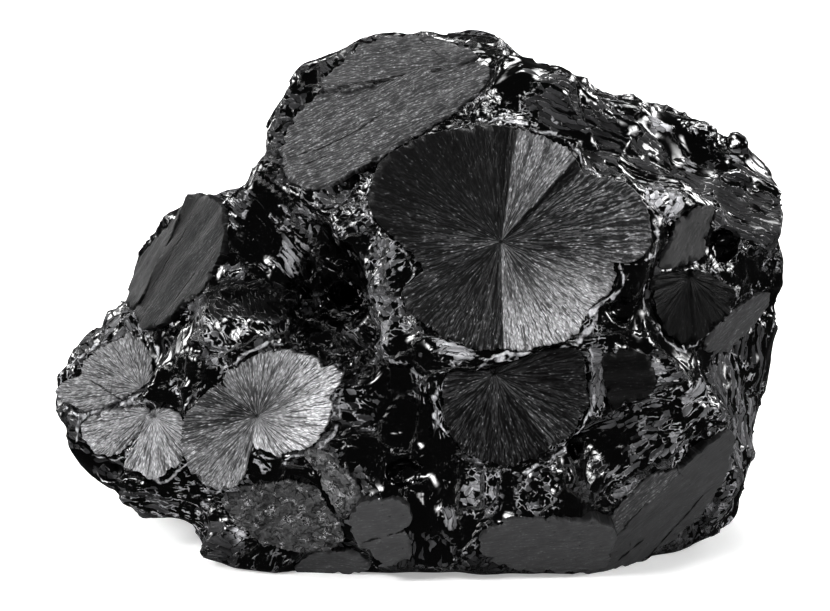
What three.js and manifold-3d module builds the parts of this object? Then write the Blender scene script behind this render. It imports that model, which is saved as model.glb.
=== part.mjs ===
// A hand specimen of graphite in a glassy black matrix, about 100 mm wide, as one solid.
// Millimetres, +Z up, -Y towards the viewer. The origin is under the middle, on the resting face.
//
// The bulk is one closed skin stretched over anchors: points of the rim, and the middles and
// facings of the natural faces. Scooped fracture relief is pressed into it between those faces.
// Radiating fans, cleavage plates, ribs and nodules are then fused to it, pits are cut out
// of it, and it is sawn flat where it rests.
import * as THREE from "three";
import { mergeVertices } from "three/addons/utils/BufferGeometryUtils.js";
import Module from "manifold-3d";

const wasm = await Module();
wasm.setup();

// ---- Driving dimensions -------------------------------------------------------------------

const HEART = new THREE.Vector3(1, 0, 32); // every point of the bulk's skin is seen from here
const SKIN_DETAIL = 11; // each edge of the icosahedron is cut into one more than this
const SKIN_NEAR = 4; // the skin is looked for between these distances from the heart
const SKIN_FAR = 75;
const SKIN_HALVINGS = 12; // times that the last millimetre of the search is halved
const SIGHT_RISE = 12; // the rim is the outline seen from the front, from this far above level
const BACK_DOME = new THREE.Vector3(60, 27, 47); // half axes of the dome that the back stays in
const ANCHOR_SOFTNESS = 2.4; // how far one anchor's plane blends into the next
const ANCHOR_FALLOFF = -3; // power of the squared distance that an anchor's pull fades with
const RIM_PULL = 6; // how much harder a point of the rim pulls than a face

const SCOOP_SIZES = [11, 5.5]; // spacing of the scooped fractures, coarse and fine
const SCOOP_DEPTHS = [3.4, 1.3];
const SCOOP_LEVEL = 0.35; // share of a scoop's depth that lies over the smooth skin
const SCOOP_FADE = 4; // relief grows to its full depth over this distance from a face
const FACE_CALM = 0.88; // share of a face's reach that relief keeps away from

const FACE_PROUD = 0.6; // a fan or plate stands this far out of the skin
const FACE_ROOT = 3.5; // and reaches this far into it
const WEDGE_STEPS = 6; // straight pieces in the arc that bounds a wedge
const OUTLINE_SPACING = 3.2; // between the corners of a face's edge

const RIB_STATIONS = 4; // cross-sections of a rib between its two ends
const RIB_FOOT = 0.5; // the sides of a rib start this far under the skin
const RIB_ROOT = 2; // and its keel reaches this far into it
const RIB_POINT = 0.12; // share of its size that a rib keeps at its two ends
const KNOB_SINK = 0.25; // the middle of a knob lies this share of its radius under the skin
const KNOB_WARP = 0.22; // and its corners are moved by up to this share of its radius
const GROUND_SIZE = 240; // side of the block that is sawn off under the resting plane

const UP = new THREE.Vector3(0, 0, 1);

// The rim, seen from the front, clockwise from the left tip: [x, y, z].
const RIM = [
  [-50, -4, 19], [-46, 0, 23.5], [-43, 2, 28], [-38.5, 2, 31.5], [-37.5, 2, 36.5],
  [-34.5, 4, 40.5], [-31, 4, 43.5], [-25.5, 4, 46], [-20.5, 2, 48], [-19.5, 0, 55],
  [-18, 0, 60], [-12.5, 2, 64], [-9, 4, 66], [-4, 6, 67], [2, 6, 66.5],
  [10, 8, 67], [15, 8, 63.5], [20, 8, 61.5], [26, 8, 59], [32, 8, 56.5],
  [38.5, 8, 54], [44, 8, 52], [48, 6, 49], [50, 4, 45], [48.5, 3, 40.5],
  [49, 2, 36], [49, 2, 30], [48.5, 2, 24], [47, 1, 16], [44.5, -2, 7.5],
  [42.5, -4, 3], [38.5, -8, 0], [29.5, -14, -0.5], [19, -20, -0.5], [3, -22, -0.5],
  [-15, -20, -0.5], [-26.5, -12, -1], [-29, -10, 1.5], [-30.5, -8, 4], [-40, -5, 5.5],
  [-42, -5, 8.5], [-48, -4, 15.5],
];

// Natural faces. A face looks along its facing: turn is degrees to the right of the front, rise is
// degrees above level. Its outline is [across, up] in the face, from its centre, where the fibres
// of a fan start. A fan's wedges are [from, to, lift]: degrees anticlockwise from its right-hand
// side, and how far that part is lifted out of the rest.
const FACES = [
  {
    name: "great_fan", centre: [10.8, -21, 43.7], turn: -2, rise: 22, reach: 15,
    outline: [
      [-16.5, 4.8], [-16.5, 7], [-14.6, 11], [-10, 13.4], [-4.4, 14.8], [1.5, 14.5], [6.3, 13.1],
      [8.3, 11.9], [10.7, 9], [13.6, 8.4], [17.2, 6], [18.8, 2.1], [17.5, -1.8], [14.3, -2.6],
      [14.1, -5.5], [11.2, -8.3], [9.5, -11.5], [5.1, -13.3], [-1.2, -13.8], [-5.3, -13.1],
      [-9.7, -10.5], [-12.3, -7.5], [-10, -3.6], [-12.6, -0.4], [-15.5, 2.6],
    ],
    wedges: [[49, 82, 0.8], [-87, -18, 0.35], [82, 196, 0.15]],
  },
  {
    name: "shell_fan", centre: [-20.1, -22, 21.3], turn: -10, rise: 8, reach: 8.5,
    outline: [
      [11, 4.9], [10.2, 6.6], [7.9, 7.1], [3.9, 8.4], [0.6, 8], [-2.6, 6.2], [-4.5, 3.5],
      [-7, 2.5], [-9.6, -0.9], [-9.7, -5.2], [-8, -8.1], [-5.1, -9.4], [-2.3, -8.7], [-1, -6],
      [0.3, -4.2], [3.1, -4.9], [6.5, -3.9], [9, -1], [9.8, 3.6],
    ],
    wedges: [[-97, 24, 0.5]],
  },
  {
    name: "low_fan", centre: [10, -26, 27.7], turn: 5, rise: -3, reach: 7,
    outline: [
      [-6.3, -0.1], [-2.7, 0.4], [1.9, 1.3], [5.9, 2.9], [10.5, 2.9], [11.5, -0.3],
      [11.8, -4], [10.5, -7.5], [7.3, -9.8], [4.4, -11.6], [0.1, -11.9], [-3.4, -10.2],
      [-6.2, -6.3], [-6.6, -2.4],
    ],
    wedges: [[-53, 30, 0.4]],
  },
  {
    name: "crown_plate", centre: [-3.9, -9, 56.7], turn: -15, rise: 38, reach: 9,
    outline: [
      [-10.5, 3.5], [-13, -2], [-13, -6], [-10.5, -9], [-6.5, -9.4], [-0.5, -5], [8.5, 2],
      [12.3, 6.5], [12, 9.5], [9, 9.8], [0, 7.3],
    ],
  },
  {
    name: "crown_step", centre: [-3.9, -3.4, 64], turn: -15, rise: 42, reach: 4,
    outline: [
      [-8, -4], [-6, 0], [-3, 3], [3, 4.8], [8, 3.6], [12, 1.8], [8, -0.6], [1.5, -2.3],
      [-5.5, -4.6],
    ],
  },
  {
    name: "shoulder_plate", centre: [-29.2, -10, 38.5], turn: -50, rise: 22, reach: 5,
    outline: [
      [-0.5, 8.5], [3.2, 8], [5, 3.5], [4, -2.5], [-2.5, -8.5], [-6.5, -9.5], [-7.5, -7.5],
      [-3, -0.5],
    ],
  },
  {
    name: "shoulder_flank", centre: [-33.5, -4, 39.3], turn: -72, rise: 25, reach: 4,
    outline: [
      [-6.5, -8], [-9, -3.5], [-4, 2], [1.5, 5.5], [8, 8], [8.5, 3.5], [3, -4], [-1, -8],
    ],
  },
  {
    name: "tongue_fan", centre: [-39.8, -8, 23.7], turn: -20, rise: 25, reach: 4,
    outline: [
      [-7.6, -3.6], [-7, -2], [-4.6, -0.6], [-4.8, 1], [0.5, 5], [3, 5], [5.2, 2], [5.4, -0.7],
      [0.5, -4], [-4, -5.2],
    ],
  },
  {
    name: "left_leaf", centre: [-39, -11, 16.4], turn: -15, rise: -5, reach: 3,
    outline: [
      [-5, 0.5], [-1.5, 2.4], [4.4, 3.4], [4, 1.2], [0, -3], [-2.5, -3.6], [-4.7, -2.2],
    ],
  },
  {
    name: "pale_leaf", centre: [-33.8, -15, 19.5], turn: -8, rise: 3, reach: 3,
    outline: [
      [-4.6, -6], [-2, -3], [-0.3, 0.5], [2.8, 0.7], [4, -1.5], [3.6, -5.6], [0.5, -8],
      [-2.5, -7.5],
    ],
  },
  {
    name: "right_fan", centre: [35.2, -16, 38.1], turn: 35, rise: 5, reach: 4.5,
    outline: [
      [-6.5, -0.5], [-4.5, 0.8], [2, 0.6], [5, -1], [7.6, -3], [5.5, -6.2], [2, -7.8],
      [-2, -8.2], [-5, -5],
    ],
    wedges: [[-90, -40, 0.35]],
  },
  {
    name: "right_flat", centre: [34.8, -15, 42.8], turn: 30, rise: 20, reach: 3,
    outline: [
      [-5, -3.2], [-3, 0], [-0.5, 2.7], [3.5, 4.2], [5, 3.6], [3.5, 1], [2.2, -2.2], [-2, -3.3],
    ],
  },
  {
    name: "right_blade", centre: [42.3, -9, 30.7], turn: 50, rise: -10, reach: 3.5,
    outline: [
      [-7, -2.4], [-4, 0.4], [3, 3.2], [6.8, 2.8], [6.4, 0.8], [2.5, -1.8], [-2.5, -4],
    ],
  },
  {
    name: "window_plate", centre: [26.1, -24, 26.5], turn: 15, rise: -3, reach: 3,
    outline: [[-3.6, 3.4], [2.5, 3.4], [4.5, 1], [4, -2], [0.5, -3], [-2, -4], [-4, -1.5]],
  },
  {
    name: "keel_plate", centre: [35.1, -16, 8.5], turn: 35, rise: -20, reach: 5,
    outline: [
      [-10, -5], [-6.5, -0.6], [-1.5, 4], [4.6, 9.2], [6.2, 7.6], [6.3, 3.6], [4.6, -1.8],
      [1.5, -5], [-3, -8], [-6.5, -7.6],
    ],
  },
  {
    name: "keel_strip", centre: [28.9, -20.4, 9.3], turn: 22, rise: -8, reach: 2.5,
    outline: [[-6.4, -3.5], [-3, -0.6], [0.6, 3.4], [4.8, 3.7], [4.8, 2], [1, -1.2], [-3.4, -4]],
  },
  {
    name: "base_plate", centre: [16.5, -25, 5.2], turn: 5, rise: -25, reach: 4,
    outline: [
      [-8.5, 0.4], [-4, 4.4], [3, 3.8], [8.4, 1.5], [7, -1.4], [3.5, -4], [-2.5, -3.8],
      [-7.5, -2],
    ],
  },
  {
    name: "thumb_fan", centre: [-4.2, -26, 7.1], turn: -3, rise: -8, reach: 2.5,
    outline: [
      [-3.5, 3], [-2, 4.2], [1.2, 4.5], [3.6, 3.2], [3, 0], [3.6, -2.4], [2.6, -4.3],
      [-0.5, -4.5], [-3.4, -1.8],
    ],
  },
  {
    name: "base_leaf", centre: [-10.6, -21.5, 2], turn: -8, rise: -25, reach: 2,
    outline: [[-5, -1.2], [-2.5, 1], [2.6, 1.6], [5, -0.8], [2.5, -2], [-3.6, -2.4]],
  },
  {
    name: "grain_patch", centre: [-16.6, -22.6, 8.5], turn: -12, rise: -5, reach: 4,
    outline: [
      [-8.4, 2], [-3, 4], [1.8, 4.5], [4.8, 2.8], [7.6, -2.8], [4, -5], [-2.4, -4.4],
      [-6.2, -2.2],
    ],
  },
  {
    name: "grain_strip", centre: [-10.1, -24.2, 13.3], turn: -3, rise: 0, reach: 2,
    outline: [[-4, 4], [-0.5, 3.6], [2.2, 0.4], [3.5, -3], [1, -5], [-0.8, -2.4], [-2.4, 1]],
  },
  {
    name: "back_fan", centre: [9, 25, 33], turn: 172, rise: 6, reach: 9,
    outline: [
      [-13, 2], [-10, 8.5], [-3, 11], [3, 9.6], [8.5, 10.6], [13, 5], [12.2, -2], [8, -7],
      [5.5, -11], [-1.5, -12.4], [-7, -9], [-11.6, -5.6],
    ],
    wedges: [[20, 70, 0.6], [-130, -80, 0.4]],
  },
  {
    name: "back_shell", centre: [-19, 22.5, 24], turn: -163, rise: -4, reach: 6,
    outline: [
      [-8, 1], [-5, 6], [0, 7.6], [3.4, 6], [7.5, 5.4], [8.8, -0.6], [5, -6], [-1, -7.4], [-6, -4.5],
    ],
    wedges: [[100, 190, 0.45]],
  },
  {
    name: "back_crown", centre: [-4, 15.5, 57.5], turn: -170, rise: 44, reach: 6,
    outline: [
      [-10, -3], [-8, 3], [-1, 5.6], [7, 5], [10.5, 0], [6, -4.4], [-3, -5.4],
    ],
  },
  {
    name: "back_slope", centre: [27, 19.5, 48.5], turn: 158, rise: 40, reach: 6,
    outline: [
      [-10, -1], [-6, 4.4], [2, 5], [9.5, 2], [8, -3.4], [1, -5.5], [-6, -4.6],
    ],
  },
  {
    name: "right_end", centre: [46.5, 9, 36], turn: 108, rise: 4, reach: 5,
    outline: [
      [-6, 3], [-2, 6.5], [4, 7], [7.4, 1], [5, -5], [-1, -6.6], [-6.4, -3],
    ],
  },
  {
    name: "heel_plate", centre: [36, 16, 14], turn: 140, rise: -16, reach: 6,
    outline: [
      [-9, 2], [-4, 6.4], [4, 6], [9, 1], [6, -5.6], [-2, -7], [-8, -3.5],
    ],
  },
  {
    name: "left_rear", centre: [-33.5, 13, 33], turn: -128, rise: 16, reach: 5,
    outline: [
      [-7, 0], [-3.6, 5.6], [3, 6.6], [7.4, 2], [5.6, -4.4], [-1, -6.6], [-6, -4.4],
    ],
  },
];

// Anchors with a facing but no face of their own: [x, y, z, turn, rise, reach].
const BODY_ANCHORS = [
  [-44, 5, 18, -115, -5, 2],
  [-36, 0, 3.5, -90, -65, 3],
  [-15, 24, 42, -172, 14, 4],
  [2, 23, 12, 178, -14, 6],
  [-22, 16, 8, -155, -24, 4],
  [2, -2, -2, 0, -90, 14],
  [24, 2, -2, 0, -90, 12],
  [-15, -12, -2, 0, -90, 5],
  [6, -13, -2, 0, -90, 6],
  [22, 25, 34, 165, 4, 3],
  [-10, -15, 33, 0, 10, 3],
  [-16, -13, 39, -10, 20, 2],
  [27, -22, 20, 15, -2, 2],
  [6, -25, 14, 0, -2, 2],
  [-1, -23, 24, -4, 4, 2],
  [27, -10, 52, 20, 45, 4],
  [40, -3, 49, 35, 50, 3],
  [44, -6, 20, 62, -8, 3],
  [-30, -13, 8, -20, -20, 3],
  [4, -25, 3.5, 0, -16, 3],
];

// Bowls pressed into the bulk between the faces: [x, y, z, radius, depth].
const BOWLS = [
  [-11, -16, 37, 6.5, 4.5],
  [-19, -15, 33, 6, 3.5],
  [-25, -17, 32, 4, 2],
  [26, -20, 36, 5, 3.5],
  [0, -24, 14, 4.5, 3.5],
  [1, -24, 22, 4, 2.5],
  [27, -22, 17, 5.5, 3],
  [13, -15, 59, 4, 3],
  [42, -10, 42, 4, 3],
  [-31, -12, 26, 4, 3],
  [12, 22, 52, 8, 3],
  [-27, 18, 42, 7, 3],
  [26, 24, 24, 7, 3.5],
  [-4, 24, 18, 6, 3],
  [-38, 8, 20, 5, 2.5],
];

// Ribs, splintery ridges that run over the skin: [start, end, width, height].
const RIBS = [
  [[14, -11, 61], [27, -15, 49.5], 3, 1.6],
  [[18, -12.5, 57.5], [42, -9, 45.5], 2.6, 1.5],
  [[15.5, -8, 62], [40, -5, 50.5], 3, 1.8],
  [[21, -4, 60.5], [45, -2, 50], 3, 1.4],
  [[0, -25.6, 30.4], [24, -26.2, 30.8], 2.2, 1.6],
  [[-40, -10.5, 20.3], [-25, -17, 25], 1.8, 1.2],
  [[-42, -7, 11.5], [-24, -17, 9], 2.6, 1.6],
  [[-41, -5, 7.5], [-26, -14, 5], 2.8, 1.6],
  [[43, -9, 24], [44, -6, 6], 3, 1.6],
  [[5, -27, 17], [1.5, -26, 4], 2.6, 1.6],
  [[20, -25.6, 14.6], [36, -17.5, 22.5], 2.2, 1.4],
  [[-37, 6, 36], [-26, 8, 45.5], 2.6, 1.5],
  [[-22, -14, 46], [-8, -18, 33], 2.4, 1.5],
  [[-30, -16, 30], [-14, -20, 31], 2, 1.2],
  [[16, 24, 46], [34, 21, 38], 2.8, 1.6],
  [[-30, 17, 16], [-8, 24, 13], 3, 1.6],
  [[-12, 20, 50], [-26, 14, 36], 2.6, 1.5],
  [[24, 24, 20], [8, 25, 8], 2.8, 1.6],
];

// Nodules, knobs of glass along the upper edge and in the hollows: [x, y, z, radius, flatness].
const NODULES = [
  [11, 1, 66, 2.6, 0.7],
  [17.5, 4, 62.3, 2, 0.8],
  [20.5, 0, 60.8, 2.4, 0.7],
  [25.5, 4, 58.9, 1.7, 0.8],
  [29, 1, 57.2, 2.3, 0.7],
  [33, -2, 54.6, 3, 0.6],
  [37.5, 1, 53.4, 2.2, 0.8],
  [41.5, 2, 51.8, 2.2, 0.7],
  [44.5, -2, 48.6, 2, 0.8],
  [-26.6, -18.5, 27, 2, 0.6],
  [2.5, -25, 29, 2.2, 0.6],
  [-2.5, -22, 31, 2.2, 0.7],
  [-14, -20.8, 27.6, 1.8, 0.8],
];

// Pits, knobs that are cut out of the bulk: [x, y, z, radius, flatness].
const PITS = [
  [-11.6, -14.5, 38, 3.6, 0.9],
  [-18.5, -16, 34.5, 3, 0.7],
  [-26, -21.5, 7, 2.6, 0.8],
  [40.5, -10.5, 41.5, 2.6, 0.8],
  [26, -23.2, 36.5, 2.8, 0.8],
  [-1, -27, 12.5, 3, 0.6],
  [22, -25.4, 16, 2.6, 0.7],
  [-6, -22.5, 28.5, 2, 0.8],
];

// ---- Small tools --------------------------------------------------------------------------

const vector = (point) => new THREE.Vector3(...point);

/** Unit vector that looks turn degrees to the right of the front and rise degrees above level. */
function facing(turn, rise) {
  const across = THREE.MathUtils.degToRad(turn);
  const above = THREE.MathUtils.degToRad(rise);
  return new THREE.Vector3(
    Math.sin(across) * Math.cos(above),
    -Math.cos(across) * Math.cos(above),
    Math.sin(above),
  );
}

/** Matrix that stands a shape drawn in XY on a plane: X runs level, Y up the plane, Z out of it. */
function standOn(origin, normal) {
  const across = new THREE.Vector3().crossVectors(UP, normal);
  if (across.lengthSq() < 1e-6) across.set(1, 0, 0);
  across.normalize();
  const upward = new THREE.Vector3().crossVectors(normal, across);
  return new THREE.Matrix4().makeBasis(across, upward, normal).setPosition(origin);
}

/** A repeatable fraction from 0 to 1 for three whole numbers and a channel. */
function fraction(i, j, k, channel) {
  const wave = Math.sin(i * 127.1 + j * 311.7 + k * 74.7 + channel * 269.5) * 43758.5453;
  return wave - Math.floor(wave);
}

/** Distance to the nearest of one point per cell of a grid, as a share of the cell's size. */
function cellDistance(point, size) {
  const at = point.clone().divideScalar(size);
  const home = at.clone().floor();
  let nearest = Infinity;
  for (let i = -1; i <= 1; i++)
    for (let j = -1; j <= 1; j++)
      for (let k = -1; k <= 1; k++) {
        const cell = new THREE.Vector3(home.x + i, home.y + j, home.z + k);
        const seed = [0, 1, 2].map((channel) => fraction(cell.x, cell.y, cell.z, channel));
        nearest = Math.min(nearest, at.distanceTo(cell.add(vector(seed))));
      }
  return nearest;
}

/** A closed three.js geometry as a manifold-3d solid. */
function solid(geometry) {
  const bare = new THREE.BufferGeometry();
  const flat = geometry.index ? geometry.toNonIndexed() : geometry;
  bare.setAttribute("position", flat.getAttribute("position"));
  const merged = mergeVertices(bare, 1e-4);
  return new wasm.Manifold(
    new wasm.Mesh({
      numProp: 3,
      vertProperties: merged.attributes.position.array,
      triVerts: new Uint32Array(merged.index.array),
    }),
  );
}

// ---- The bulk -----------------------------------------------------------------------------

/** Every anchor as a point, the way the skin faces there, how far its plane holds, and its pull. */
function anchors() {
  const middle = (index) => vector(RIM[(index + RIM.length) % RIM.length]);
  const rim = RIM.map((point, index) => {
    const along = middle(index + 1).sub(middle(index - 1));
    const out = new THREE.Vector3(-along.z, 0, along.x).normalize();
    return { at: vector(point), out, reach: 0, pull: RIM_PULL };
  });
  const faces = FACES.map((face) => {
    const out = facing(face.turn, face.rise);
    const at = vector(face.centre).addScaledVector(out, -FACE_PROUD);
    return { at, out, reach: face.reach, pull: 1 };
  });
  const body = BODY_ANCHORS.map(([x, y, z, turn, rise, reach]) => ({
    at: new THREE.Vector3(x, y, z),
    out: facing(turn, rise),
    reach,
    pull: 1,
  }));
  return [...rim, ...faces, ...body];
}

const ANCHORS = anchors();
const FACE_PLANES = FACES.map((face) => ({
  at: vector(face.centre),
  reach: Math.max(...face.outline.map(([across, up]) => Math.hypot(across, up))),
}));

/** Signed distance of a point from the smooth skin: below zero inside. */
function skinDistance(point) {
  let sum = 0;
  let weights = 0;
  for (const { at, out, reach, pull } of ANCHORS) {
    const away = point.clone().sub(at);
    const beyond = Math.max(away.length() - reach, 0);
    const weight = pull * (beyond * beyond + ANCHOR_SOFTNESS ** 2) ** ANCHOR_FALLOFF;
    sum += weight * away.dot(out);
    weights += weight;
  }
  return sum / weights;
}

/** How far fracture relief and bowls move the skin at a point, outwards above zero. */
function relief(point) {
  const clear = Math.min(
    ...FACE_PLANES.map(({ at, reach }) => Math.max(point.distanceTo(at) - reach * FACE_CALM, 0)),
  );
  const share = THREE.MathUtils.smoothstep(clear, 0, SCOOP_FADE);
  let move = 0;
  SCOOP_SIZES.forEach((size, index) => {
    move += SCOOP_DEPTHS[index] * (cellDistance(point, size) ** 2 - SCOOP_LEVEL);
  });
  for (const [x, y, z, radius, depth] of BOWLS) {
    const away = point.distanceTo(new THREE.Vector3(x, y, z)) / radius;
    move -= depth * Math.max(0, 1 - away * away);
  }
  return move * share;
}

/** A point as the front view shows it, from the heart: [across, up]. */
function seen(point) {
  const rise = THREE.MathUtils.degToRad(SIGHT_RISE);
  const away = point.clone().sub(HEART);
  return new THREE.Vector2(away.x, away.z * Math.cos(rise) + away.y * Math.sin(rise));
}

const OUTLINE = RIM.map((point) => seen(vector(point)));

/** How far along a ray from the heart the rim lets the skin reach. */
function rimReach(direction) {
  const sight = seen(HEART.clone().add(direction));
  for (let i = 0; i < OUTLINE.length; i++) {
    const from = OUTLINE[i];
    const along = OUTLINE[(i + 1) % OUTLINE.length].clone().sub(from);
    const turn = sight.cross(along);
    const share = sight.cross(from) / -turn;
    const reach = from.cross(along) / turn;
    if (share >= 0 && share <= 1 && reach > 0) return reach;
  }
  return SKIN_FAR;
}

/** How far along a ray from the heart the dome of the back lets the skin reach. */
function backReach(direction) {
  return direction.y > 0 ? 1 / direction.clone().divide(BACK_DOME).length() : SKIN_FAR;
}

/** Where a ray from the heart leaves the skin: the smooth skin and its relief, within the rim. */
function surfacePoint(direction) {
  const at = (distance) => HEART.clone().addScaledVector(direction, distance);
  let far = SKIN_NEAR;
  while (far < SKIN_FAR && skinDistance(at(far)) < 0) far += 1;
  let near = far - 1;
  for (let halving = 0; halving < SKIN_HALVINGS; halving++) {
    const half = (near + far) / 2;
    if (skinDistance(at(half)) < 0) near = half;
    else far = half;
  }
  const rim = rimReach(direction);
  const smooth = Math.min(near, rim, backReach(direction));
  return at(Math.min(smooth + relief(at(smooth)), rim));
}

/** The bulk: an icosahedron's finely cut skin, moved out to the anchors' skin and its relief. */
function bulk() {
  const geometry = new THREE.IcosahedronGeometry(1, SKIN_DETAIL);
  const places = geometry.getAttribute("position");
  const known = new Map();
  for (let i = 0; i < places.count; i++) {
    const direction = new THREE.Vector3().fromBufferAttribute(places, i).normalize();
    const key = direction.toArray().map((value) => value.toFixed(5)).join();
    if (!known.has(key)) known.set(key, surfacePoint(direction));
    places.setXYZ(i, ...known.get(key).toArray());
  }
  return solid(geometry);
}

// ---- What is fused to the bulk and cut out of it --------------------------------------------

/** A face's closed outline as points on a smooth curve through its drawn ones. */
function outlinePoints(outline) {
  const curve = new THREE.CatmullRomCurve3(
    outline.map(([across, up]) => new THREE.Vector3(across, up, 0)),
    true,
    "centripetal",
  );
  const corners = Math.round(curve.getLength() / OUTLINE_SPACING);
  const points = curve.getSpacedPoints(corners).slice(0, -1);
  return points.map((point) => new THREE.Vector2(point.x, point.y));
}

/** A prism on a face's plane, from its root to a height above the face. */
function facePrism(face, points, height) {
  const geometry = new THREE.ExtrudeGeometry(new THREE.Shape(points), {
    depth: FACE_ROOT + height,
    bevelEnabled: false,
  });
  const out = facing(face.turn, face.rise);
  const root = vector(face.centre).addScaledVector(out, -FACE_ROOT);
  return solid(geometry.applyMatrix4(standOn(root, out)));
}

/** One fan or plate: its prism, and the wedges of a fan that stand out of it. */
function faceSolids(face) {
  const points = outlinePoints(face.outline);
  const whole = facePrism(face, points, 0);
  const wedges = (face.wedges ?? []).map(([from, to, lift]) => {
    const span = THREE.MathUtils.degToRad(to - from);
    const start = THREE.MathUtils.degToRad(from);
    const reach = Math.max(...points.map((point) => point.length())) * 2;
    const arc = Array.from({ length: WEDGE_STEPS + 1 }, (_, step) => {
      const angle = start + (span * step) / WEDGE_STEPS;
      return new THREE.Vector2(Math.cos(angle) * reach, Math.sin(angle) * reach);
    });
    const sector = facePrism(face, [new THREE.Vector2(0, 0), ...arc], lift);
    return facePrism(face, points, lift).intersect(sector);
  });
  return [whole, ...wedges];
}

/** A ridge that runs over the skin from start to end, with four corners to a cross-section. */
function rib([start, end, width, height]) {
  const from = vector(start).sub(HEART);
  const to = vector(end).sub(HEART);
  const places = [];
  for (let station = 0; station <= RIB_STATIONS; station++) {
    const share = station / RIB_STATIONS;
    const out = from.clone().lerp(to, share).normalize();
    const side = new THREE.Vector3().crossVectors(to.clone().sub(from), out).normalize();
    const foot = surfacePoint(out).addScaledVector(out, -RIB_FOOT);
    const bow = Math.sin(Math.PI * share) * (0.75 + 0.5 * fraction(station, width, height, 3));
    const swell = Math.max(bow, RIB_POINT);
    const tip = foot.clone().addScaledVector(out, (height + RIB_FOOT) * swell);
    const lean = (fraction(station, start[0], end[2], 4) - 0.5) * width * swell;
    places.push(
      tip.addScaledVector(side, lean),
      foot.clone().addScaledVector(side, (width * swell) / 2),
      foot.clone().addScaledVector(out, -RIB_ROOT * swell),
      foot.clone().addScaledVector(side, (-width * swell) / 2),
    );
  }
  const last = RIB_STATIONS * 4;
  const faces = [[0, 2, 1], [0, 3, 2], [last, last + 1, last + 2], [last, last + 2, last + 3]];
  for (let corner = 0; corner < last; corner++) {
    const next = corner % 4 === 3 ? corner - 3 : corner + 1;
    faces.push([corner, next, corner + 4], [next, next + 4, corner + 4]);
  }
  return solid(new THREE.BufferGeometry().setFromPoints(places).setIndex(faces.flat()));
}

/** A faceted knob on the skin, flattened along the way out from the heart. */
function knob([x, y, z, radius, flatness]) {
  const out = new THREE.Vector3(x, y, z).sub(HEART).normalize();
  const middle = surfacePoint(out).addScaledVector(out, -KNOB_SINK * radius);
  const geometry = new THREE.OctahedronGeometry(radius, 1);
  const places = geometry.getAttribute("position");
  for (let i = 0; i < places.count; i++) {
    const corner = new THREE.Vector3().fromBufferAttribute(places, i);
    const cell = corner.clone().multiplyScalar(4 / radius).round();
    const warp = (fraction(cell.x, cell.y, cell.z, x + z) - 0.5) * 2 * KNOB_WARP;
    corner.multiplyScalar(1 + warp);
    places.setXYZ(i, corner.x, corner.y, corner.z * flatness);
  }
  return solid(geometry.applyMatrix4(standOn(middle, out)));
}

/** Everything below the resting plane, as a block. */
function underground() {
  const block = new THREE.BoxGeometry(GROUND_SIZE, GROUND_SIZE, GROUND_SIZE);
  return solid(block.translate(0, 0, -GROUND_SIZE / 2));
}

/** A solid as a three.js geometry. */
function geometryOf(made) {
  const { numProp, vertProperties, triVerts } = made.getMesh();
  const geometry = new THREE.BufferGeometry();
  const count = vertProperties.length / numProp;
  const places = new Float32Array(count * 3);
  for (let i = 0; i < count; i++)
    places.set(vertProperties.subarray(i * numProp, i * numProp + 3), i * 3);
  geometry.setAttribute("position", new THREE.BufferAttribute(places, 3));
  geometry.setIndex(new THREE.BufferAttribute(new Uint32Array(triVerts), 1));
  return geometry;
}

// ---- The specimen -------------------------------------------------------------------------

let body = bulk();
for (const pit of PITS) body = body.subtract(knob(pit));
for (const part of [...RIBS.map(rib), ...NODULES.map(knob), ...FACES.flatMap(faceSolids)])
  body = body.add(part);
body = body.subtract(underground());

// What is left of a pit that a plate closes is filled: only the outer skin is kept.
const outer = body
  .decompose()
  .reduce((kept, other) => (other.volume() > kept.volume() ? other : kept));

// The middle of its box stands over the origin.
const { min, max } = outer.boundingBox();
const centred = outer.translate([-(min[0] + max[0]) / 2, -(min[1] + max[1]) / 2, 0]);

const specimen = new THREE.Mesh(
  geometryOf(centred),
  new THREE.MeshStandardMaterial({ color: 0x17161a, roughness: 0.25, metalness: 0.1 }),
);
specimen.name = "graphite_specimen";

const root = new THREE.Group();
root.add(specimen);

export default root;
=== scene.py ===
"""Dresses the graphite specimen: glassy matrix, radiating fans and cleavage plates.

The lump is one natural thing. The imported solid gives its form. Here a finely divided copy of that
solid becomes the glassy matrix with its shell-like fracture, and each fan and plate becomes a
crystal face of its own, laid into the matrix where the solid has it. Lengths in the tables are
millimetres in the drawing's frame, and every mesh is written in metres in the model's frame.
"""

import logging
import math
from dataclasses import dataclass, field
from enum import Enum
from typing import Optional, Sequence, Union

import bmesh
import bpy
import numpy as np
from bmesh.types import BMesh, BMLayerItem, BMVert
from bpy.types import ID, Material, Node, NodeSocket, NodeTree, Object
from mathutils import Matrix, Vector, noise


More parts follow.
